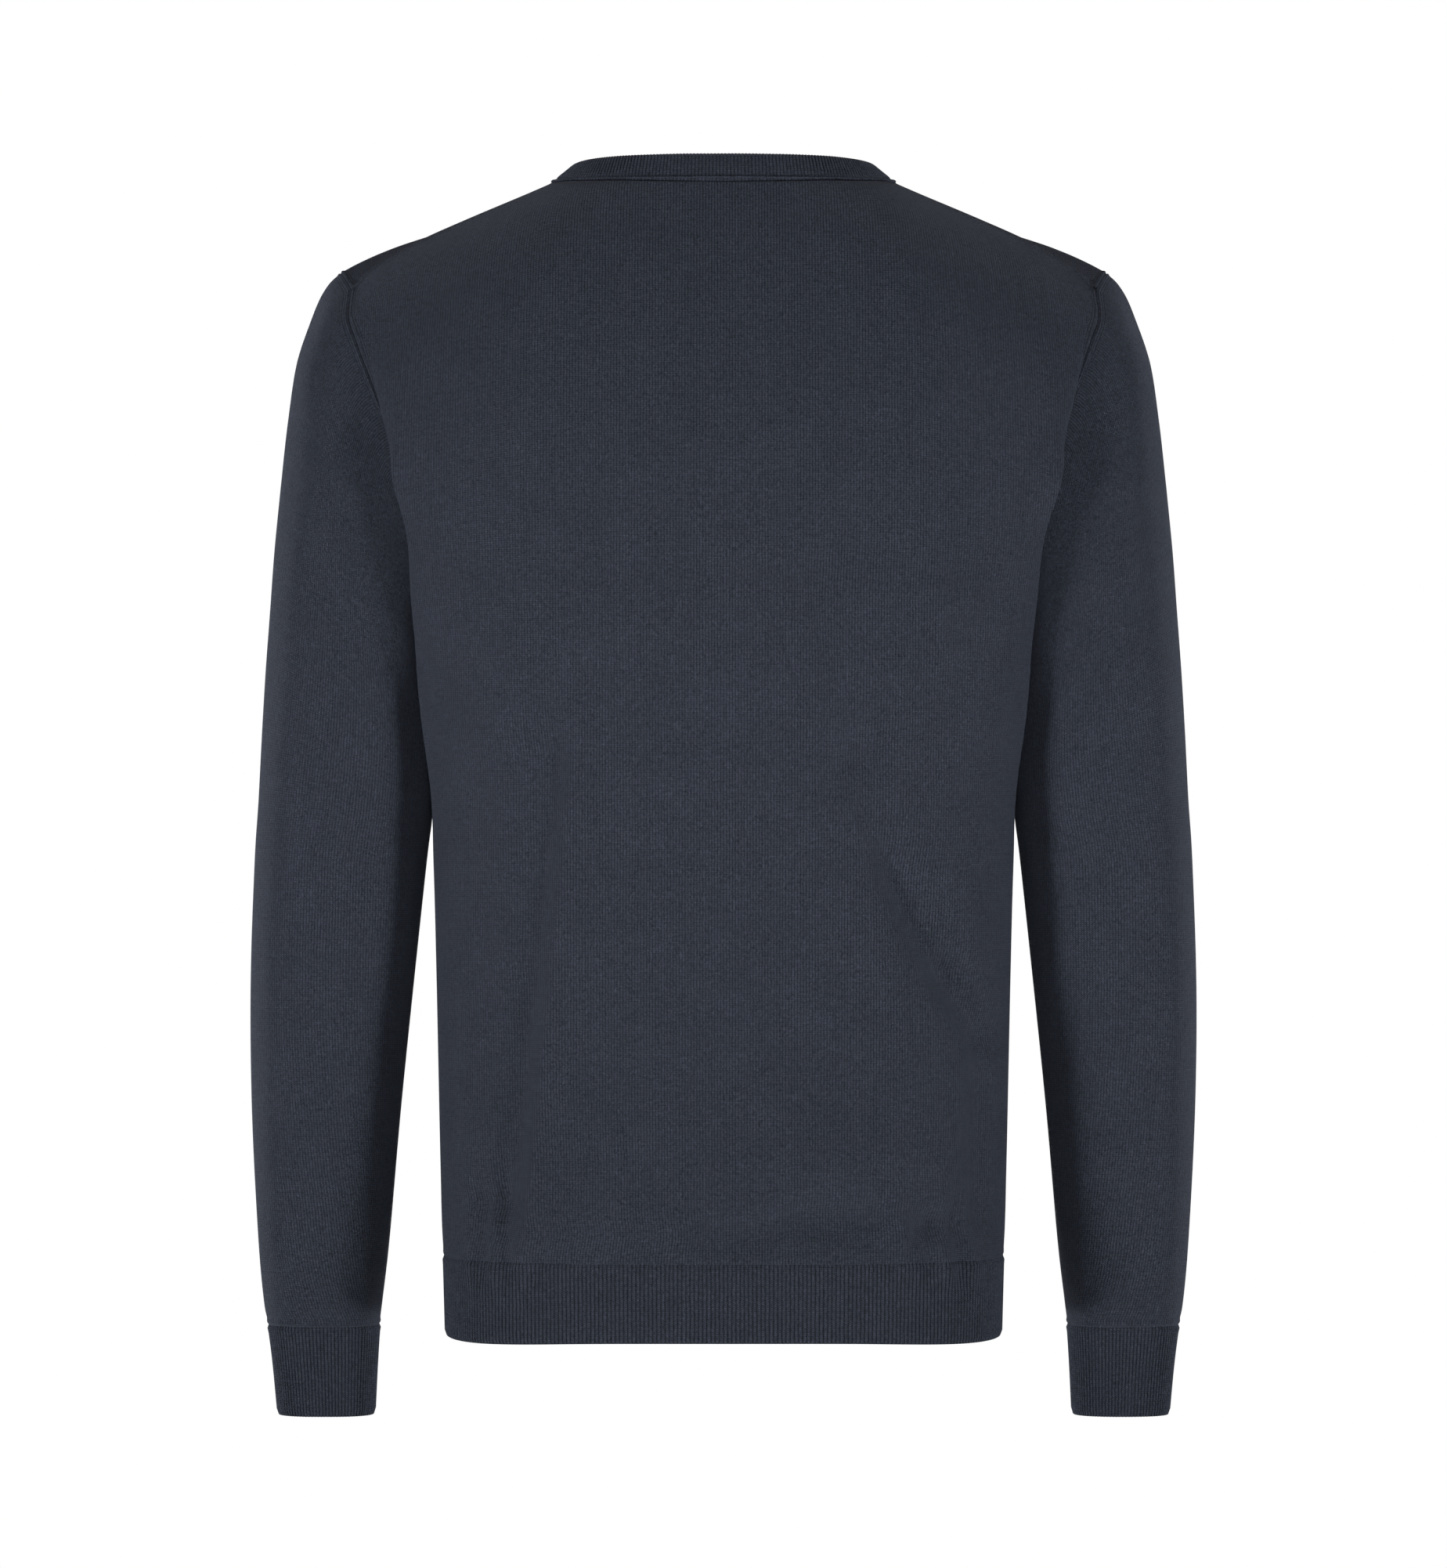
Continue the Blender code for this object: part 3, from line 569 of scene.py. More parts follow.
def neckband_rows(seam, shares):
    """The band from the neck seam to its free edge: it stands up at the back and lies flat in front."""
    following, before = np.roll(seam, -1, axis=0), np.roll(seam, 1, axis=0)
    stands = np.clip(1 - seam[:, 2] / BAND_STANDS_ABOVE_Z, 0, 1)[:, None]
    faces_up = BAND_FACES_UP - BAND_UP_LOST_BY_Y * np.maximum(seam[:, 1], 0) + BAND_UP_BY_Z * seam[:, 2]
    out_of_cloth = unit(np.stack([seam[:, 0] * BAND_FACES_X, seam[:, 1], faces_up], axis=-1))
    sides = []
    for direction in (following - seam, seam - before):
        inward = np.cross(out_of_cloth, unit(direction))
        sides.append(unit(inward + np.array([0, 0, 1]) * NECKBAND_LIFT * stands))
    one, other = sides
    span = NECKBAND_WIDTH * (one + other) / (1 + (one * other).sum(axis=1, keepdims=True))
    return seam[None] + shares[:, None, None] * span[None]


# ---- Surfaces ----


class Surface:
    """The outer face of one piece as a grid of points, its rows closed into rings if round_it is set.

    seams names its edges that meet another piece: "low" and "high" for the first and last row, and "ends"
    for the first and last column. flip turns the faces of a grid that would otherwise face inwards.
    """

    def __init__(self, name, group, grid, seams, round_it=False, flip=False):
        self.name = name
        self.group = group
        self.grid = grid
        self.seams = seams
        self.round_it = round_it
        self.flip = flip
        rows, columns = grid.shape[:2]
        number = np.arange(rows * columns).reshape(rows, columns)
        if round_it:
            number = np.concatenate([number, number[:, :1]], axis=1)
        corners = [number[:-1, :-1], number[:-1, 1:], number[1:, 1:], number[1:, :-1]]
        quads = np.stack(corners, axis=-1).reshape(-1, 4)
        self.number = number
        self.quads = quads[:, ::-1] if flip else quads

    @property
    def points(self):
        return self.grid.reshape(-1, 3)


def shared_normals(surfaces):
    """Normals of every point, shared where pieces meet, with each group of pieces counting once at a seam."""
    place = np.concatenate([surface.points for surface in surfaces])
    _, spot = np.unique(np.round(place, SAME_PLACE_DECIMALS), axis=0, return_inverse=True)
    spot = spot.reshape(-1)
    starts = np.cumsum([0] + [len(surface.points) for surface in surfaces])
    by_group = {}
    for surface, start in zip(surfaces, starts):
        total = by_group.setdefault(surface.group, np.zeros((spot.max() + 1, 3)))
        corners = surface.points[surface.quads]
        normals = unit(np.cross(corners[:, 2] - corners[:, 0], corners[:, 3] - corners[:, 1]))
        for corner in surface.quads.T:
            np.add.at(total, spot[start + corner], normals)
    for group, total in by_group.items():
        by_group[group] = unit(total) * (np.linalg.norm(total, axis=1, keepdims=True) > 0)
    shared = unit(sum(by_group.values()))
    for surface, start in zip(surfaces, starts):
        here = spot[start : start + len(surface.points)]
        own = by_group[surface.group][here]
        cosine = np.maximum((own * shared[here]).sum(axis=1), LEAST_MITRE_COSINE)
        surface.normals = shared[here].reshape(surface.grid.shape)
        surface.mitre = (1 / cosine).reshape(surface.grid.shape[:2])


def fold_heights(points, normals):
    """How far the folds raise each point: the back's on what faces back, the front's on what faces front."""
    height = np.zeros(len(points))
    for folds, side in ((BACK_FOLDS, 1), (FRONT_FOLDS, -1)):
        shown = np.clip(2 * side * normals[:, 1], 0, 1)
        for top_x, top_z, low_x, low_z, left_width, right_width, rise in zip(*folds.values()):
            line = np.array([low_x - top_x, low_z - top_z])
            from_top = points[:, [0, 2]] - (top_x, top_z)
            along = from_top @ line / (line @ line)
            off = from_top @ np.array([-line[1], line[0]]) / np.linalg.norm(line)
            off = np.where(off > 0, off / left_width, off / right_width)
            ends = np.clip(along / FOLD_END_SHARE, 0, 1) * np.clip((1 - along) / FOLD_END_SHARE, 0, 1)
            height += shown * rise * np.exp(-(off**2)) * ends * ends * (3 - 2 * ends)
    return height


def unevenness(points):
    """The slight hand of real cloth: a slow, shallow swell that no table names."""
    heights = []
    for point in points:
        broad = noise.noise(Vector(point) / BROAD_SWELL)
        narrow = noise.noise(Vector(point) / NARROW_SWELL)
        heights.append(BROAD_SWELL_HEIGHT * broad + NARROW_SWELL_HEIGHT * narrow)
    return np.array(heights)


def distance_from_seams(surface):
    """How far each point is from the nearest seam, measured along the grid's own lines."""
    grid = surface.grid
    down = run_length(grid, 0)
    over = run_length(grid, 1)
    nearest = np.full(grid.shape[:2], FAR_FROM_EDGE)
    if "low" in surface.seams:
        nearest = np.minimum(nearest, down)
    if "high" in surface.seams:
        nearest = np.minimum(nearest, down[-1:] - down)
    if "ends" in surface.seams:
        nearest = np.minimum(nearest, np.minimum(over, over[:, -1:] - over))
    return nearest


def knit_coordinates(surface):
    """Where each point lies in the knit: around the body or sleeve from its middle column, and along it."""
    over = run_length(surface.grid, 1)
    around = over - over[:, over.shape[1] // 2][:, None]
    along = np.broadcast_to(run_length(surface.grid, 0).mean(axis=1)[:, None], around.shape)
    return np.stack([around, along], axis=-1)


def fashioned_edge(surface):
    """Distance in from a fully fashioned edge, where the wales run along the seam, and the place along it."""
    grid = surface.grid
    far = np.full(grid.shape[:2], FAR_FROM_EDGE)
    along = np.zeros(grid.shape[:2])
    if surface.group == "body":
        over = run_length(grid, 1)
        to_armhole = np.minimum(over, over[:, -1:] - over)
        to_armhole[: surface.lower_rows] = FAR_FROM_EDGE
        down = run_length(grid, 0)
        to_shoulder = down[-1:] - down
        across = np.abs(np.linspace(-1, 1, grid.shape[1]))
        to_shoulder[:, across < NECK_SHARE] = FAR_FROM_EDGE
        far = np.minimum(to_armhole, to_shoulder)
        by_armhole = to_armhole <= to_shoulder
        along = np.where(by_armhole, down, over[-1][None, :])
    elif surface.group == "sleeve":
        far = run_length(grid, 0)
        along = np.broadcast_to(run_length(grid[0], 0)[None], far.shape)
    return np.stack([far, along], axis=-1)


# ---- Meshes ----


def make_object(name, points, quads, uv_layers, material):
    """A smooth-shaded mesh object, its UV layers given a value for each point."""
    mesh = bpy.data.meshes.new(name)
    mesh.from_pydata((points * TO_METRES).tolist(), [], quads.tolist())
    corner_points = quads.reshape(-1)
    for layer_name, values in uv_layers.items():
        layer = mesh.uv_layers.new(name=layer_name)
        layer.data.foreach_set("uv", (values[corner_points] * TO_METRES).astype(np.float32).reshape(-1))
    mesh.polygons.foreach_set("use_smooth", np.ones(len(mesh.polygons), bool))
    mesh.set_sharp_from_angle(angle=math.radians(SHARP_EDGE_DEGREES))
    mesh.materials.append(material)
    made = bpy.data.objects.new(name, mesh)
    bpy.context.scene.collection.objects.link(made)
    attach(made, "root")
    return made


def closed_shell(surface, outer, thickness, uv_layers, material):
    """A shell with an outer face, an inner one and a rim at every edge."""
    inner = outer - thickness * surface.mitre[:, :, None] * surface.normals
    count = outer.shape[0] * outer.shape[1]
    number = surface.number
    edges = [number[0, ::-1], number[-1]]
    if not surface.round_it:
        edges += [number[:, 0], number[::-1, -1]]
    rims = np.concatenate([np.stack([e[:-1], e[1:], e[1:] + count, e[:-1] + count], axis=-1) for e in edges])
    if surface.flip:
        rims = rims[:, ::-1]
    quads = np.concatenate([surface.quads, surface.quads[:, ::-1] + count, rims])
    points = np.concatenate([outer.reshape(-1, 3), inner.reshape(-1, 3)])
    doubled = {name: np.concatenate([values.reshape(-1, 2)] * 2) for name, values in uv_layers.items()}
    return make_object(surface.name, points, quads, doubled, material)


def rib_profile(phase):
    """Height of a rib for a phase of one turn a rib, 0 in the furrow and 1 on its broad round crest."""
    return np.abs(np.sin(np.pi * phase)) ** RIB_FLATNESS


def ribbed_shell(surface, pitch, material, relief_kept):
    """A band whose outer face is raised in ribs, its columns divided so that each rib has its points.

    relief_kept gives, for each row, how much of the relief it keeps.
    """
    rows = surface.grid
    normals, mitre = surface.normals, surface.mitre
    if surface.round_it:
        rows, normals, mitre = (np.concatenate([a, a[:, :1]], axis=1) for a in (rows, normals, mitre))
    length = run_length(rows, 1).mean(axis=0)
    ribs = round(length[-1] / pitch)
    fine_count = ribs * POINTS_A_RIB + 1
    place = np.interp(np.linspace(0, length[-1], fine_count), length, np.arange(len(length)))
    left = np.minimum(place.astype(int), len(length) - 2)
    part = (place - left)[None, :, None]
    fine_rows = rows[:, left] * (1 - part) + rows[:, left + 1] * part
    fine_normals = unit(normals[:, left] * (1 - part) + normals[:, left + 1] * part)
    fine_mitre = mitre[:, left] * (1 - part[:, :, 0]) + mitre[:, left + 1] * part[:, :, 0]
    phase = np.arange(fine_count) / POINTS_A_RIB
    raised = RIB_RELIEF * rib_profile(phase)[None, :, None] * relief_kept[:, None, None]
    outer = fine_rows + raised * fine_normals
    if surface.round_it:
        doubled = (outer, fine_normals, fine_mitre, fine_rows)
        outer, fine_normals, fine_mitre, fine_rows = (a[:, :-1] for a in doubled)
    band = Surface(surface.name, surface.group, fine_rows, surface.seams, surface.round_it, surface.flip)
    band.normals, band.mitre = fine_normals, fine_mitre
    down = run_length(fine_rows, 0)
    knit = np.stack([np.broadcast_to(phase[None, : outer.shape[1]] * pitch, down.shape), down], axis=-1)
    layers = {"knit": knit, "edge": np.full_like(knit, FAR_FROM_EDGE)}
    return closed_shell(band, outer, RIB_THICKNESS, layers, material)


def loop_chain(name, line, normals, pitch, radius, material):
    """A chain of small linking loops along a closed line: a cord that swells and narrows once a loop."""
    closed_line = np.concatenate([line, line[:1]])
    length = run_length(closed_line)
    steps = round(length[-1] / pitch) * CHAIN_STEPS_A_LOOP
    at = np.linspace(0, length[-1], steps, endpoint=False)
    closed_normals = np.concatenate([normals, normals[:1]])
    centre = points_at(at, length, closed_line)
    up = unit(points_at(at, length, closed_normals))
    ahead = unit(np.roll(centre, -1, axis=0) - np.roll(centre, 1, axis=0))
    sideways = np.cross(ahead, up)
    swell = CHAIN_NARROWEST + CHAIN_SWELL * np.abs(np.sin(np.pi * np.arange(steps) / CHAIN_STEPS_A_LOOP))
    turn = np.linspace(0, 2 * np.pi, CHAIN_SIDES + 1)[:-1]
    ring = sideways[:, None] * np.cos(turn)[None, :, None] + up[:, None] * np.sin(turn)[None, :, None]
    points = centre[:, None] + radius * swell[:, None, None] * ring
    number = np.arange(steps * CHAIN_SIDES).reshape(steps, CHAIN_SIDES)
    number = np.concatenate([number, number[:1]])
    number = np.concatenate([number, number[:, :1]], axis=1)
    corners = [number[:-1, :-1], number[1:, :-1], number[1:, 1:], number[:-1, 1:]]
    quads = np.stack(corners, axis=-1).reshape(-1, 4)

    # The whole chain lies a quarter of a wale in, on a leg of the stitch, so that the knit's painted shade
    # paints it light, as its loops catch the light.
    knit = np.zeros((steps * CHAIN_SIDES, 2))
    knit[:, 0] = pitch / 4
    knit[:, 1] = np.repeat(at, CHAIN_SIDES)
    layers = {"knit": knit, "edge": knit + FAR_FROM_EDGE}
    return make_object(name, points.reshape(-1, 3), quads, layers, material)


# ---- Knit material ----


class Nodes:
    """Short calls for the shader nodes that the knit is drawn with."""

    def __init__(self, tree):
        self.tree = tree

    def add(self, kind, **settings):
        node = self.tree.nodes.new(kind)
        for name, value in settings.items():
            setattr(node, name, value)
        return node

    def plug(self, socket, value):
        if isinstance(value, bpy.types.NodeSocket):
            self.tree.links.new(value, socket)
        else:
            socket.default_value = value

    def math(self, operation, *values):
        node = self.add("ShaderNodeMath", operation=operation)
        for socket, value in zip(node.inputs, values):
            self.plug(socket, value)
        return node.outputs[0]

    def mix(self, factor, one, other):
        """A number between two numbers."""
        node = self.add("ShaderNodeMix", data_type="FLOAT")
        for socket, value in zip((node.inputs[0], node.inputs[2], node.inputs[3]), (factor, one, other)):
            self.plug(socket, value)
        return node.outputs[0]


STITCH_SLANT = 0.7
BOTH_LEGS_SHARE = 0.75
YARN_RELIEF = 0.6
# Painted shade of the knit: the colour is darkest in the furrows and lighter on the raised legs, by the
# stitch height
PAINTED_FURROW_SHADE = 0.38
PAINTED_STITCH_SHADING = 1.25

# How far the wales wander to the side, in metres, and the noise that they follow
WANDER = 0.0003
WANDER_SCALE = 160
WANDER_DETAIL = 2

# Noise that lightens and darkens the knit by least + gain * noise, laid in space or along the knit
SPECKLE_COLUMNS = ("laid", "scale", "detail", "stretch", "least", "gain")
SPECKLES = {
    "fuzz": ("space", 1000, 2, (1, 1, 1), 0.05, 1.9),
    "heather": ("space", 420, 2, (1, 1, 1), 0.7, 0.6),
    "rows": ("knit", 1, 2, (70, 800, 1), 0.82, 0.36),
    "slow": ("space", 38, 3, (1, 1, 1), 0.88, 0.24),
}


def stitch_height(nodes, around, along, wale, course):
    """Height of stocking stitch, 0 to 1: in each wale two slanting legs meet in a V, one V a course."""
    in_wale = nodes.math("FRACT", nodes.math("DIVIDE", around, wale))
    from_middle = nodes.math("ABSOLUTE", nodes.math("SUBTRACT", nodes.math("MULTIPLY", in_wale, 2.0), 1.0))
    slant = nodes.math("MULTIPLY", from_middle, STITCH_SLANT)
    slanted = nodes.math("SUBTRACT", nodes.math("DIVIDE", along, course), slant)
    turn = nodes.math("MULTIPLY", slanted, 2 * math.pi)
    yarn = nodes.math("MULTIPLY_ADD", nodes.math("COSINE", turn), 0.5, 0.5)
    both_legs = nodes.math("SINE", nodes.math("MULTIPLY", in_wale, math.pi))
    one_leg = nodes.math("SINE", nodes.math("MULTIPLY", from_middle, math.pi))
    both = nodes.math("MULTIPLY", both_legs, BOTH_LEGS_SHARE)
    legs = nodes.math("ADD", both, nodes.math("MULTIPLY", one_leg, 1 - BOTH_LEGS_SHARE))
    return nodes.math("MULTIPLY", legs, nodes.math("MULTIPLY_ADD", yarn, YARN_RELIEF, 1 - YARN_RELIEF))


def place_in_knit(nodes):
    """Where a point lies around and along the knit, which turns to run with a fashioned edge close to it."""
    knit = nodes.add("ShaderNodeUVMap", uv_map="knit")
    edge = nodes.add("ShaderNodeUVMap", uv_map="edge")
    knit_axes = nodes.add("ShaderNodeSeparateXYZ")
    edge_axes = nodes.add("ShaderNodeSeparateXYZ")
    nodes.plug(knit_axes.inputs[0], knit.outputs[0])
    nodes.plug(edge_axes.inputs[0], edge.outputs[0])
    in_edge = nodes.math("LESS_THAN", edge_axes.outputs[0], FASHIONED_EDGE * TO_METRES)
    around = nodes.mix(in_edge, knit_axes.outputs[0], edge_axes.outputs[0])
    along = nodes.mix(in_edge, knit_axes.outputs[1], edge_axes.outputs[1])
    return around, along


def noise_at(nodes, vector, scale, detail):
    """Noise of about one spot for each 1/scale of the vector's length."""
    spots = nodes.add("ShaderNodeTexNoise")
    nodes.plug(spots.inputs["Vector"], vector)
    spots.inputs["Scale"].default_value = scale
    spots.inputs["Detail"].default_value = detail
    return spots.outputs["Fac"]


def speckle(nodes, vector, look):
    """The noise of one kind of speckle, closer set along some of its axes where the look says so."""
    stretched = nodes.add("ShaderNodeVectorMath", operation="MULTIPLY")
    nodes.plug(stretched.inputs[0], vector)
    stretched.inputs[1].default_value = look["stretch"]
    return noise_at(nodes, stretched.outputs[0], look["scale"], look["detail"])


def knit_material(name, colour, wale, course, depth):
    material = bpy.data.materials.new(name)
    material.use_nodes = True
    nodes = Nodes(material.node_tree)
    shader = material.node_tree.nodes["Principled BSDF"]

    around, along = place_in_knit(nodes)
    in_space = nodes.add("ShaderNodeTexCoord").outputs["Object"]
    in_knit = nodes.add("ShaderNodeCombineXYZ")
    nodes.plug(in_knit.inputs[0], around)
    nodes.plug(in_knit.inputs[1], along)
    wander = noise_at(nodes, in_space, WANDER_SCALE, WANDER_DETAIL)
    wandered = nodes.math("ADD", around, nodes.math("MULTIPLY_ADD", wander, 2 * WANDER, -WANDER))
    height = stitch_height(nodes, wandered, along, wale * TO_METRES, course * TO_METRES)

    # The colour carries painted shade: darker in the knit's furrows and lighter on its legs, by the same
    # height that the bump uses. The speckles below are the yarn's own uneven tone.
    shade = nodes.math("MULTIPLY_ADD", height, PAINTED_STITCH_SHADING, PAINTED_FURROW_SHADE)
    vectors = {"space": in_space, "knit": in_knit.outputs[0]}
    spots = {}
    for kind, row in SPECKLES.items():
        look = dict(zip(SPECKLE_COLUMNS, row))
        spots[kind] = speckle(nodes, vectors[look["laid"]], look)
        strength = nodes.math("MULTIPLY_ADD", spots[kind], look["gain"], look["least"])
        shade = nodes.math("MULTIPLY", shade, strength)
    tint = nodes.add("ShaderNodeMix", data_type="RGBA", blend_type="MULTIPLY")
    tint.inputs[0].default_value = 1.0
    tint.inputs[6].default_value = (*colour, 1)
    nodes.plug(tint.inputs[7], shade)
    nodes.plug(shader.inputs["Base Color"], tint.outputs[2])

    knit_bump = nodes.add("ShaderNodeBump")
    knit_bump.inputs["Strength"].default_value = 1.0
    knit_bump.inputs["Distance"].default_value = depth * TO_METRES
    nodes.plug(knit_bump.inputs["Height"], height)
    fuzz_bump = nodes.add("ShaderNodeBump")
    fuzz_bump.inputs["Strength"].default_value = 0.5
    fuzz_bump.inputs["Distance"].default_value = FUZZ_BUMP * TO_METRES
    nodes.plug(fuzz_bump.inputs["Height"], spots["fuzz"])
    nodes.plug(fuzz_bump.inputs["Normal"], knit_bump.outputs[0])
    nodes.plug(shader.inputs["Normal"], fuzz_bump.outputs[0])

    shader.inputs["Roughness"].default_value = 0.92
    shader.inputs["Specular IOR Level"].default_value = 0.05
    shader.inputs["Sheen Weight"].default_value = 0.15
    shader.inputs["Sheen Roughness"].default_value = 0.45
    shader.inputs["Sheen Tint"].default_value = (0.45, 0.5, 0.66, 1)
    return material


# ---- The garment ----

NAVY = (0.036, 0.0415, 0.056)
# The ribs are the same yarn as the jersey, their colour painted darker for the shade in their deep furrows
RIB_NAVY_WITH_PAINTED_SHADE = (0.0325, 0.0372, 0.0505)


def both_sides(left, right):
    """A left half grid and the mirror image of a right one as one grid, from the right side to the left."""
    mirrored = right[:, :0:-1] * np.array([-1, 1, 1])
    return np.concatenate([mirrored, left], axis=1)


def relaxed(grid, underarm_row):
    """Smooths a panel: across its columns above the underarm, and along them where its two parts meet.

    Both fade out towards the top and the side edges, which other pieces share.
    """
    down = run_length(grid, 0)
    over = run_length(grid, 1)
    from_sides = np.minimum(over, over[:, -1:] - over)
    from_edge = np.minimum(down[-1:] - down, from_sides)
    rows = np.arange(len(grid))[:, None]
    over_underarm = np.clip((rows - underarm_row) / ACROSS_SETS_IN_ROWS, 0, 1)
    by_underarm = np.exp(-(((grid[:, :, 2] - UNDERARM_Z) / ALONG_REACH) ** 2))
    across_share = np.clip(from_edge / ACROSS_FULL_FROM_EDGE, 0, 1) ** 2 * over_underarm
    along_share = np.clip(from_sides / ALONG_FULL_FROM_SIDE, 0, 1) ** 2 * by_underarm
    across_share = SMOOTHING_SHARE * across_share[1:-1, 1:-1, None]
    along_share = SMOOTHING_SHARE * along_share[1:-1, 1:-1, None]
    column_gaps = np.diff(over, axis=1)[1:-1, :, None]
    row_gaps = np.diff(down, axis=0)[:, 1:-1, None]
    for _ in range(SMOOTHING_PASSES):
        before, after = column_gaps[:, :-1], column_gaps[:, 1:]
        middle = (grid[1:-1, :-2] * after + grid[1:-1, 2:] * before) / (before + after)
        grid[1:-1, 1:-1] += across_share * (middle - grid[1:-1, 1:-1])
        below, above = row_gaps[:-1], row_gaps[1:]
        middle = (grid[:-2, 1:-1] * above + grid[2:, 1:-1] * below) / (below + above)
        grid[1:-1, 1:-1] += along_share * (middle - grid[1:-1, 1:-1])
    return grid


def build_surfaces():
    """The outer faces of the nine pieces, on grids that share their points at the seams."""
    across = np.unique(np.concatenate([np.arange(COLUMNS + 1) / COLUMNS, 1 - np.array(COLUMNS_BY_SIDE)]))
    up = 1 - (1 - np.linspace(0, 1, UPPER_ROWS + 1)) ** 2
    near_hem = HEM_SEAM_Z + np.array(ROWS_OVER_HEM)
    heights = np.unique(np.concatenate([np.linspace(HEM_SEAM_Z, UNDERARM_Z, LOWER_ROWS + 1), near_hem]))
    lower_rows = len(heights) - 1
    panels = {}
    for face in (1, -1):
        lower = np.stack([body_ring(z, face, across) for z in heights[:-1]])
        halves = [np.concatenate([lower, upper_panel(face, side, across, up)]) for side in ("left", "right")]
        panels[face] = relaxed(both_sides(*halves), lower_rows)
    back, front = panels[1], panels[-1]
    armhole = np.concatenate([front[lower_rows:, -1], back[-2:lower_rows:-1, -1]])

    down_sleeve = np.linspace(0, CUFF_SEAM_RING, CUFF_SEAM_RING * RINGS_PER_ROW + 1)
    near_cuff = CUFF_SEAM_RING - np.array(RINGS_BY_CUFF)
    rings = np.unique(np.concatenate([down_sleeve, RINGS_BY_ARMHOLE, near_cuff]))
    sleeve = sleeve_rings(armhole, rings)
    cuff = sleeve_rings(armhole, np.linspace(CUFF_SEAM_RING, CUFF_END_RING, BAND_ROWS))

    share = np.linspace(0, 1, BAND_ROWS)[:, None, None]
    hem = {}
    for face in (1, -1):
        edge = hem_edge(face, across)[None]
        hem[face] = both_sides(edge, edge) * (1 - share) + panels[face][:1] * share

    centre = len(across) - 1
    neck_columns = int((across < NECK_SHARE - TINY).sum())
    left_front = front[-1, centre : centre + neck_columns + 1]
    across_back = back[-1, centre - neck_columns : centre + neck_columns + 1][::-1]
    right_front = front[-1, centre - neck_columns : centre + 1]
    neck_seam = np.concatenate([left_front[:-1], across_back[:-1], right_front[:-1]])
    neckband = neckband_rows(neck_seam, np.linspace(0, 1, BAND_ROWS))

    mirror = np.array([-1, 1, 1])
    surfaces = [
        Surface("back_panel", "body", back, {"low", "high", "ends"}, flip=True),
        Surface("front_panel", "body", front, {"low", "high", "ends"}),
        Surface("hem_rib_back", "hem", hem[1], {"high"}, flip=True),
        Surface("hem_rib_front", "hem", hem[-1], {"high"}),
        Surface("sleeve_left", "sleeve", sleeve, {"low", "high"}, round_it=True, flip=True),
        Surface("sleeve_right", "sleeve", sleeve * mirror, {"low", "high"}, round_it=True),
        Surface("cuff_left", "cuff", cuff, {"low"}, round_it=True, flip=True),
        Surface("cuff_right", "cuff", cuff * mirror, {"low"}, round_it=True),
        Surface("neckband", "neckband", neckband, {"low"}, round_it=True),
    ]
    for surface in surfaces:
        surface.lower_rows = lower_rows if surface.group == "body" else 0
    return surfaces


def shape_cloth(surfaces):
    """Folds, creases and the slight unevenness of cloth, and seams that sink in."""
    shared_normals(surfaces)
    for surface in surfaces:
        points, normals = surface.points, surface.normals.reshape(-1, 3)
        rise = fold_heights(points, normals) + unevenness(points) * np.abs(normals[:, 1])
        surface.grid = surface.grid + rise.reshape(surface.grid.shape[:2])[:, :, None] * surface.normals
    shared_normals(surfaces)
    for surface in surfaces:
        near = distance_from_seams(surface)
        groove = GROOVE_DEPTH[surface.group] * np.exp(-((near / GROOVE_WIDTH) ** 2))
        ridge = SEAM_RIDGE[surface.group] * np.exp(-(((near - SEAM_RIDGE_PLACE) / SEAM_RIDGE_WIDTH) ** 2))
        if surface.group == "body":
            ridge[: surface.lower_rows] *= RIDGE_KEPT_LOW_ON_BODY
        surface.grid = surface.grid + (ridge - groove)[:, :, None] * surface.normals
    shared_normals(surfaces)


def round_edge(surface):
    """Turns a band's free edge in, as a knitted edge rolls over. It is the edge that no seam holds."""
    down = run_length(surface.grid, 0)
    from_edge = down[-1:] - down if "low" in surface.seams else down
    sunk = EDGE_ROLL * np.clip(1 - from_edge / EDGE_ROLL_WIDTH, 0, 1) ** 2
    surface.grid = surface.grid - sunk[:, :, None] * surface.normals


def relief_of_rows(surface):
    """How much of the ribs' relief each row of a band keeps: all, but for the trim along the neck seam."""
    if surface.group != "neckband":
        return np.ones(len(surface.grid))
    height = run_length(surface.grid, 0).mean(axis=1)
    return NECK_TRIM_RELIEF + (1 - NECK_TRIM_RELIEF) * np.clip((height - NECK_TRIM) / NECK_TRIM_BLEND, 0, 1)


def dress():
    """Puts a shell of knit in the place of each wall, and the linking chain on the neckband."""
    jersey = knit_material("jersey_knit", NAVY, WALE, COURSE, JERSEY_BUMP)
    rib_of = {}
    for group, knit_name, pitch in (
        ("hem", "hem_rib_knit", HEM_RIB_PITCH),
        ("cuff", "cuff_rib_knit", CUFF_RIB_PITCH),
        ("neckband", "neck_rib_knit", NECK_RIB_PITCH),
    ):
        rib_of[group] = (pitch, knit_material(knit_name, RIB_NAVY_WITH_PAINTED_SHADE, pitch, COURSE, RIB_BUMP))
    surfaces = build_surfaces()
    shape_cloth(surfaces)
    for surface in surfaces:
        if surface.group in rib_of:
            round_edge(surface)
            pitch, material = rib_of[surface.group]
            piece = ribbed_shell(surface, pitch, material, relief_of_rows(surface))
        else:
            layers = {"knit": knit_coordinates(surface), "edge": fashioned_edge(surface)}
            piece = closed_shell(surface, surface.grid, JERSEY_THICKNESS, layers, jersey)
        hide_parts(surface.name)
        if surface.group == "neckband":
            normals = surface.normals[CHAIN_ROW]
            line = surface.grid[CHAIN_ROW] + CHAIN_LIFT * normals
            loop_chain("neck_linking", line, normals, NECK_RIB_PITCH, CHAIN_RADIUS, material)


# ---- Light, background and camera ----

FLOOR_Z = -5.2
FLOOR_RADIUS = 12
FLOOR_CORNERS = 64
LIGHT_FROM_ALL_ROUND = 0.19

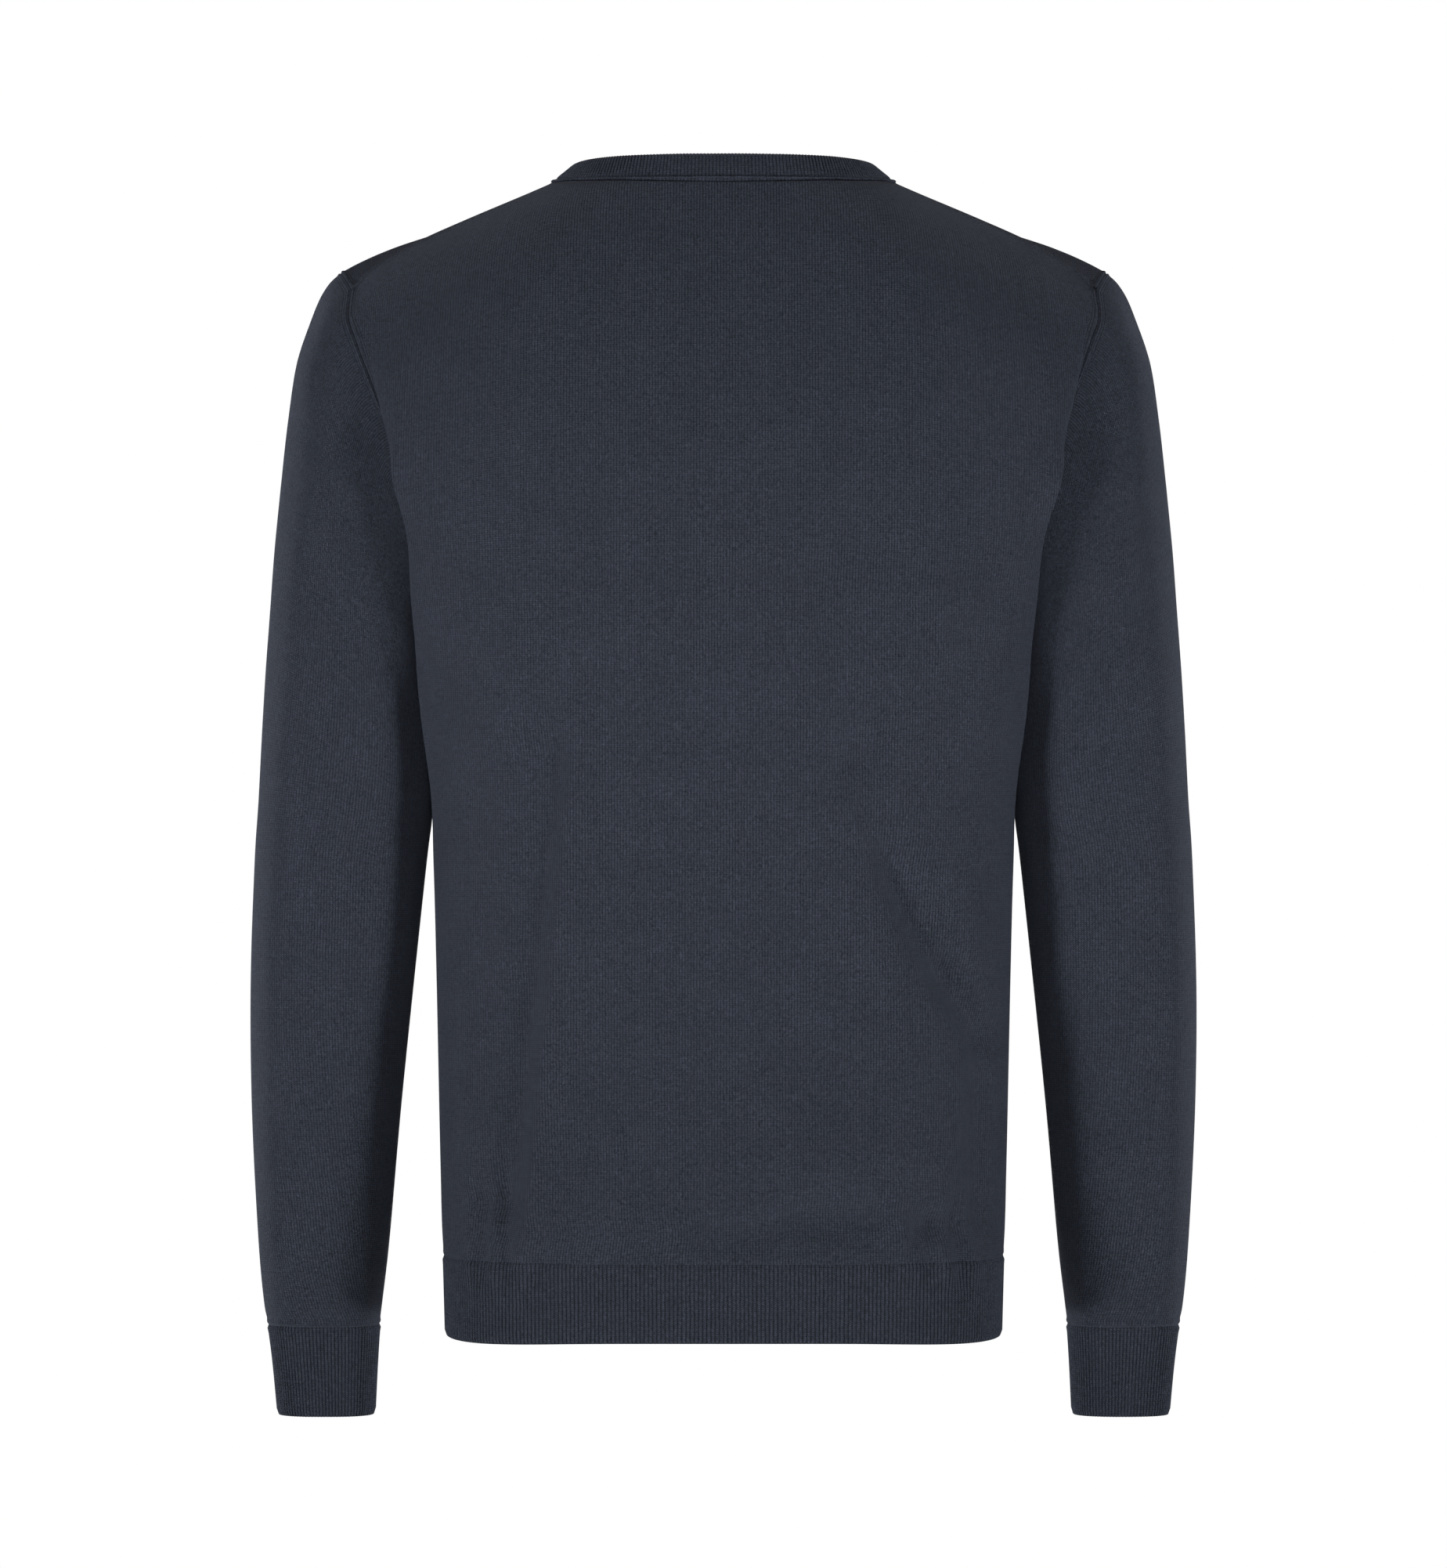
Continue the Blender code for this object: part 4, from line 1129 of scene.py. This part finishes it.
# Disc lights in metres, watts and degrees, each aimed at a height on the garment's middle line
WHITE = (1, 1, 1)
WARM = (1, 0.93, 0.86)
LIGHT_COLUMNS = ("name", "place", "aim_z", "size", "power", "spread", "colour")
LIGHTS = (
    ("key", (-3.3, 2.8, -1.4), -0.28, 1.0, 2.85, 26, WHITE),
    ("fill", (3.3, 2.8, -1.4), -0.28, 1.0, 3.2, 26, WHITE),
    ("back_light", (0, 4.5, -1.9), -0.25, 1.2, 2.1, 30, WHITE),
    ("top_light", (0, -1.4, 3.0), -0.05, 1.2, 1.4, 26, WARM),
    ("front_key", (3.2, -2.9, -1.2), -0.28, 1.0, 3.4, 28, WHITE),
    ("front_fill", (-3.2, -2.9, -1.2), -0.28, 1.0, 2.6, 28, WHITE),
    ("front_light", (0, -4.5, -1.6), -0.25, 1.2, 1.7, 30, WHITE),
)

PHOTO_SIZE = (1848, 2002)
MM_A_PIXEL = 0.46
CAMERA_DISTANCE = 4.5
CAMERA_HEIGHT = -0.352
SENSOR = 36.0


def set_background():
    """Plain white behind the garment, and a weaker even light from all round."""
    world = bpy.data.worlds.new("studio")
    bpy.context.scene.world = world
    world.use_nodes = True
    nodes = Nodes(world.node_tree)
    seen = nodes.add("ShaderNodeLightPath").outputs["Is Camera Ray"]
    background = world.node_tree.nodes["Background"]
    nodes.plug(background.inputs["Strength"], nodes.mix(seen, LIGHT_FROM_ALL_ROUND, 1.0))
    background.inputs["Color"].default_value = (1, 1, 1, 1)


def add_floor():
    """A plain pale floor far below the garment, as white to the camera as what lies behind."""
    mesh = bpy.data.meshes.new("floor")
    turn = np.linspace(0, 2 * np.pi, FLOOR_CORNERS + 1)[:-1]
    x, y = FLOOR_RADIUS * np.cos(turn), FLOOR_RADIUS * np.sin(turn)
    rim = np.stack([x, y, np.full_like(turn, FLOOR_Z)], axis=-1)
    mesh.from_pydata(rim.tolist(), [], [list(range(len(rim)))])
    material = bpy.data.materials.new("pale_floor")
    material.use_nodes = True
    nodes = Nodes(material.node_tree)
    shader = material.node_tree.nodes["Principled BSDF"]
    shader.inputs["Base Color"].default_value = (0.8, 0.8, 0.8, 1)
    shader.inputs["Emission Color"].default_value = (1, 1, 1, 1)
    nodes.plug(shader.inputs["Emission Strength"], nodes.add("ShaderNodeLightPath").outputs["Is Camera Ray"])
    mesh.materials.append(material)
    floor = bpy.data.objects.new("floor", mesh)
    bpy.context.scene.collection.objects.link(floor)


def add_light(name, place, aim_z, size, power, spread, colour):
    data = bpy.data.lights.new(name, "AREA")
    data.shape = "DISK"
    data.size = size
    data.energy = power
    data.color = colour
    data.spread = math.radians(spread)
    light = bpy.data.objects.new(name, data)
    light.location = place
    light.rotation_euler = (Vector((0, 0, aim_z)) - Vector(place)).to_track_quat("-Z", "Y").to_euler()
    light.visible_camera = False
    bpy.context.scene.collection.objects.link(light)


def set_camera():
    scene = bpy.context.scene
    data = bpy.data.cameras.new("camera")
    data.sensor_width = SENSOR
    data.lens = SENSOR * CAMERA_DISTANCE / (PHOTO_SIZE[1] * MM_A_PIXEL * TO_METRES)
    camera = bpy.data.objects.new("camera", data)
    camera.location = (0, CAMERA_DISTANCE, CAMERA_HEIGHT)
    camera.rotation_euler = (math.pi / 2, 0, math.pi)
    scene.collection.objects.link(camera)
    scene.camera = camera


dress()
set_background()
add_floor()
for light_row in LIGHTS:
    add_light(**dict(zip(LIGHT_COLUMNS, light_row)))
set_camera()
bpy.context.scene.view_settings.view_transform = "Standard"
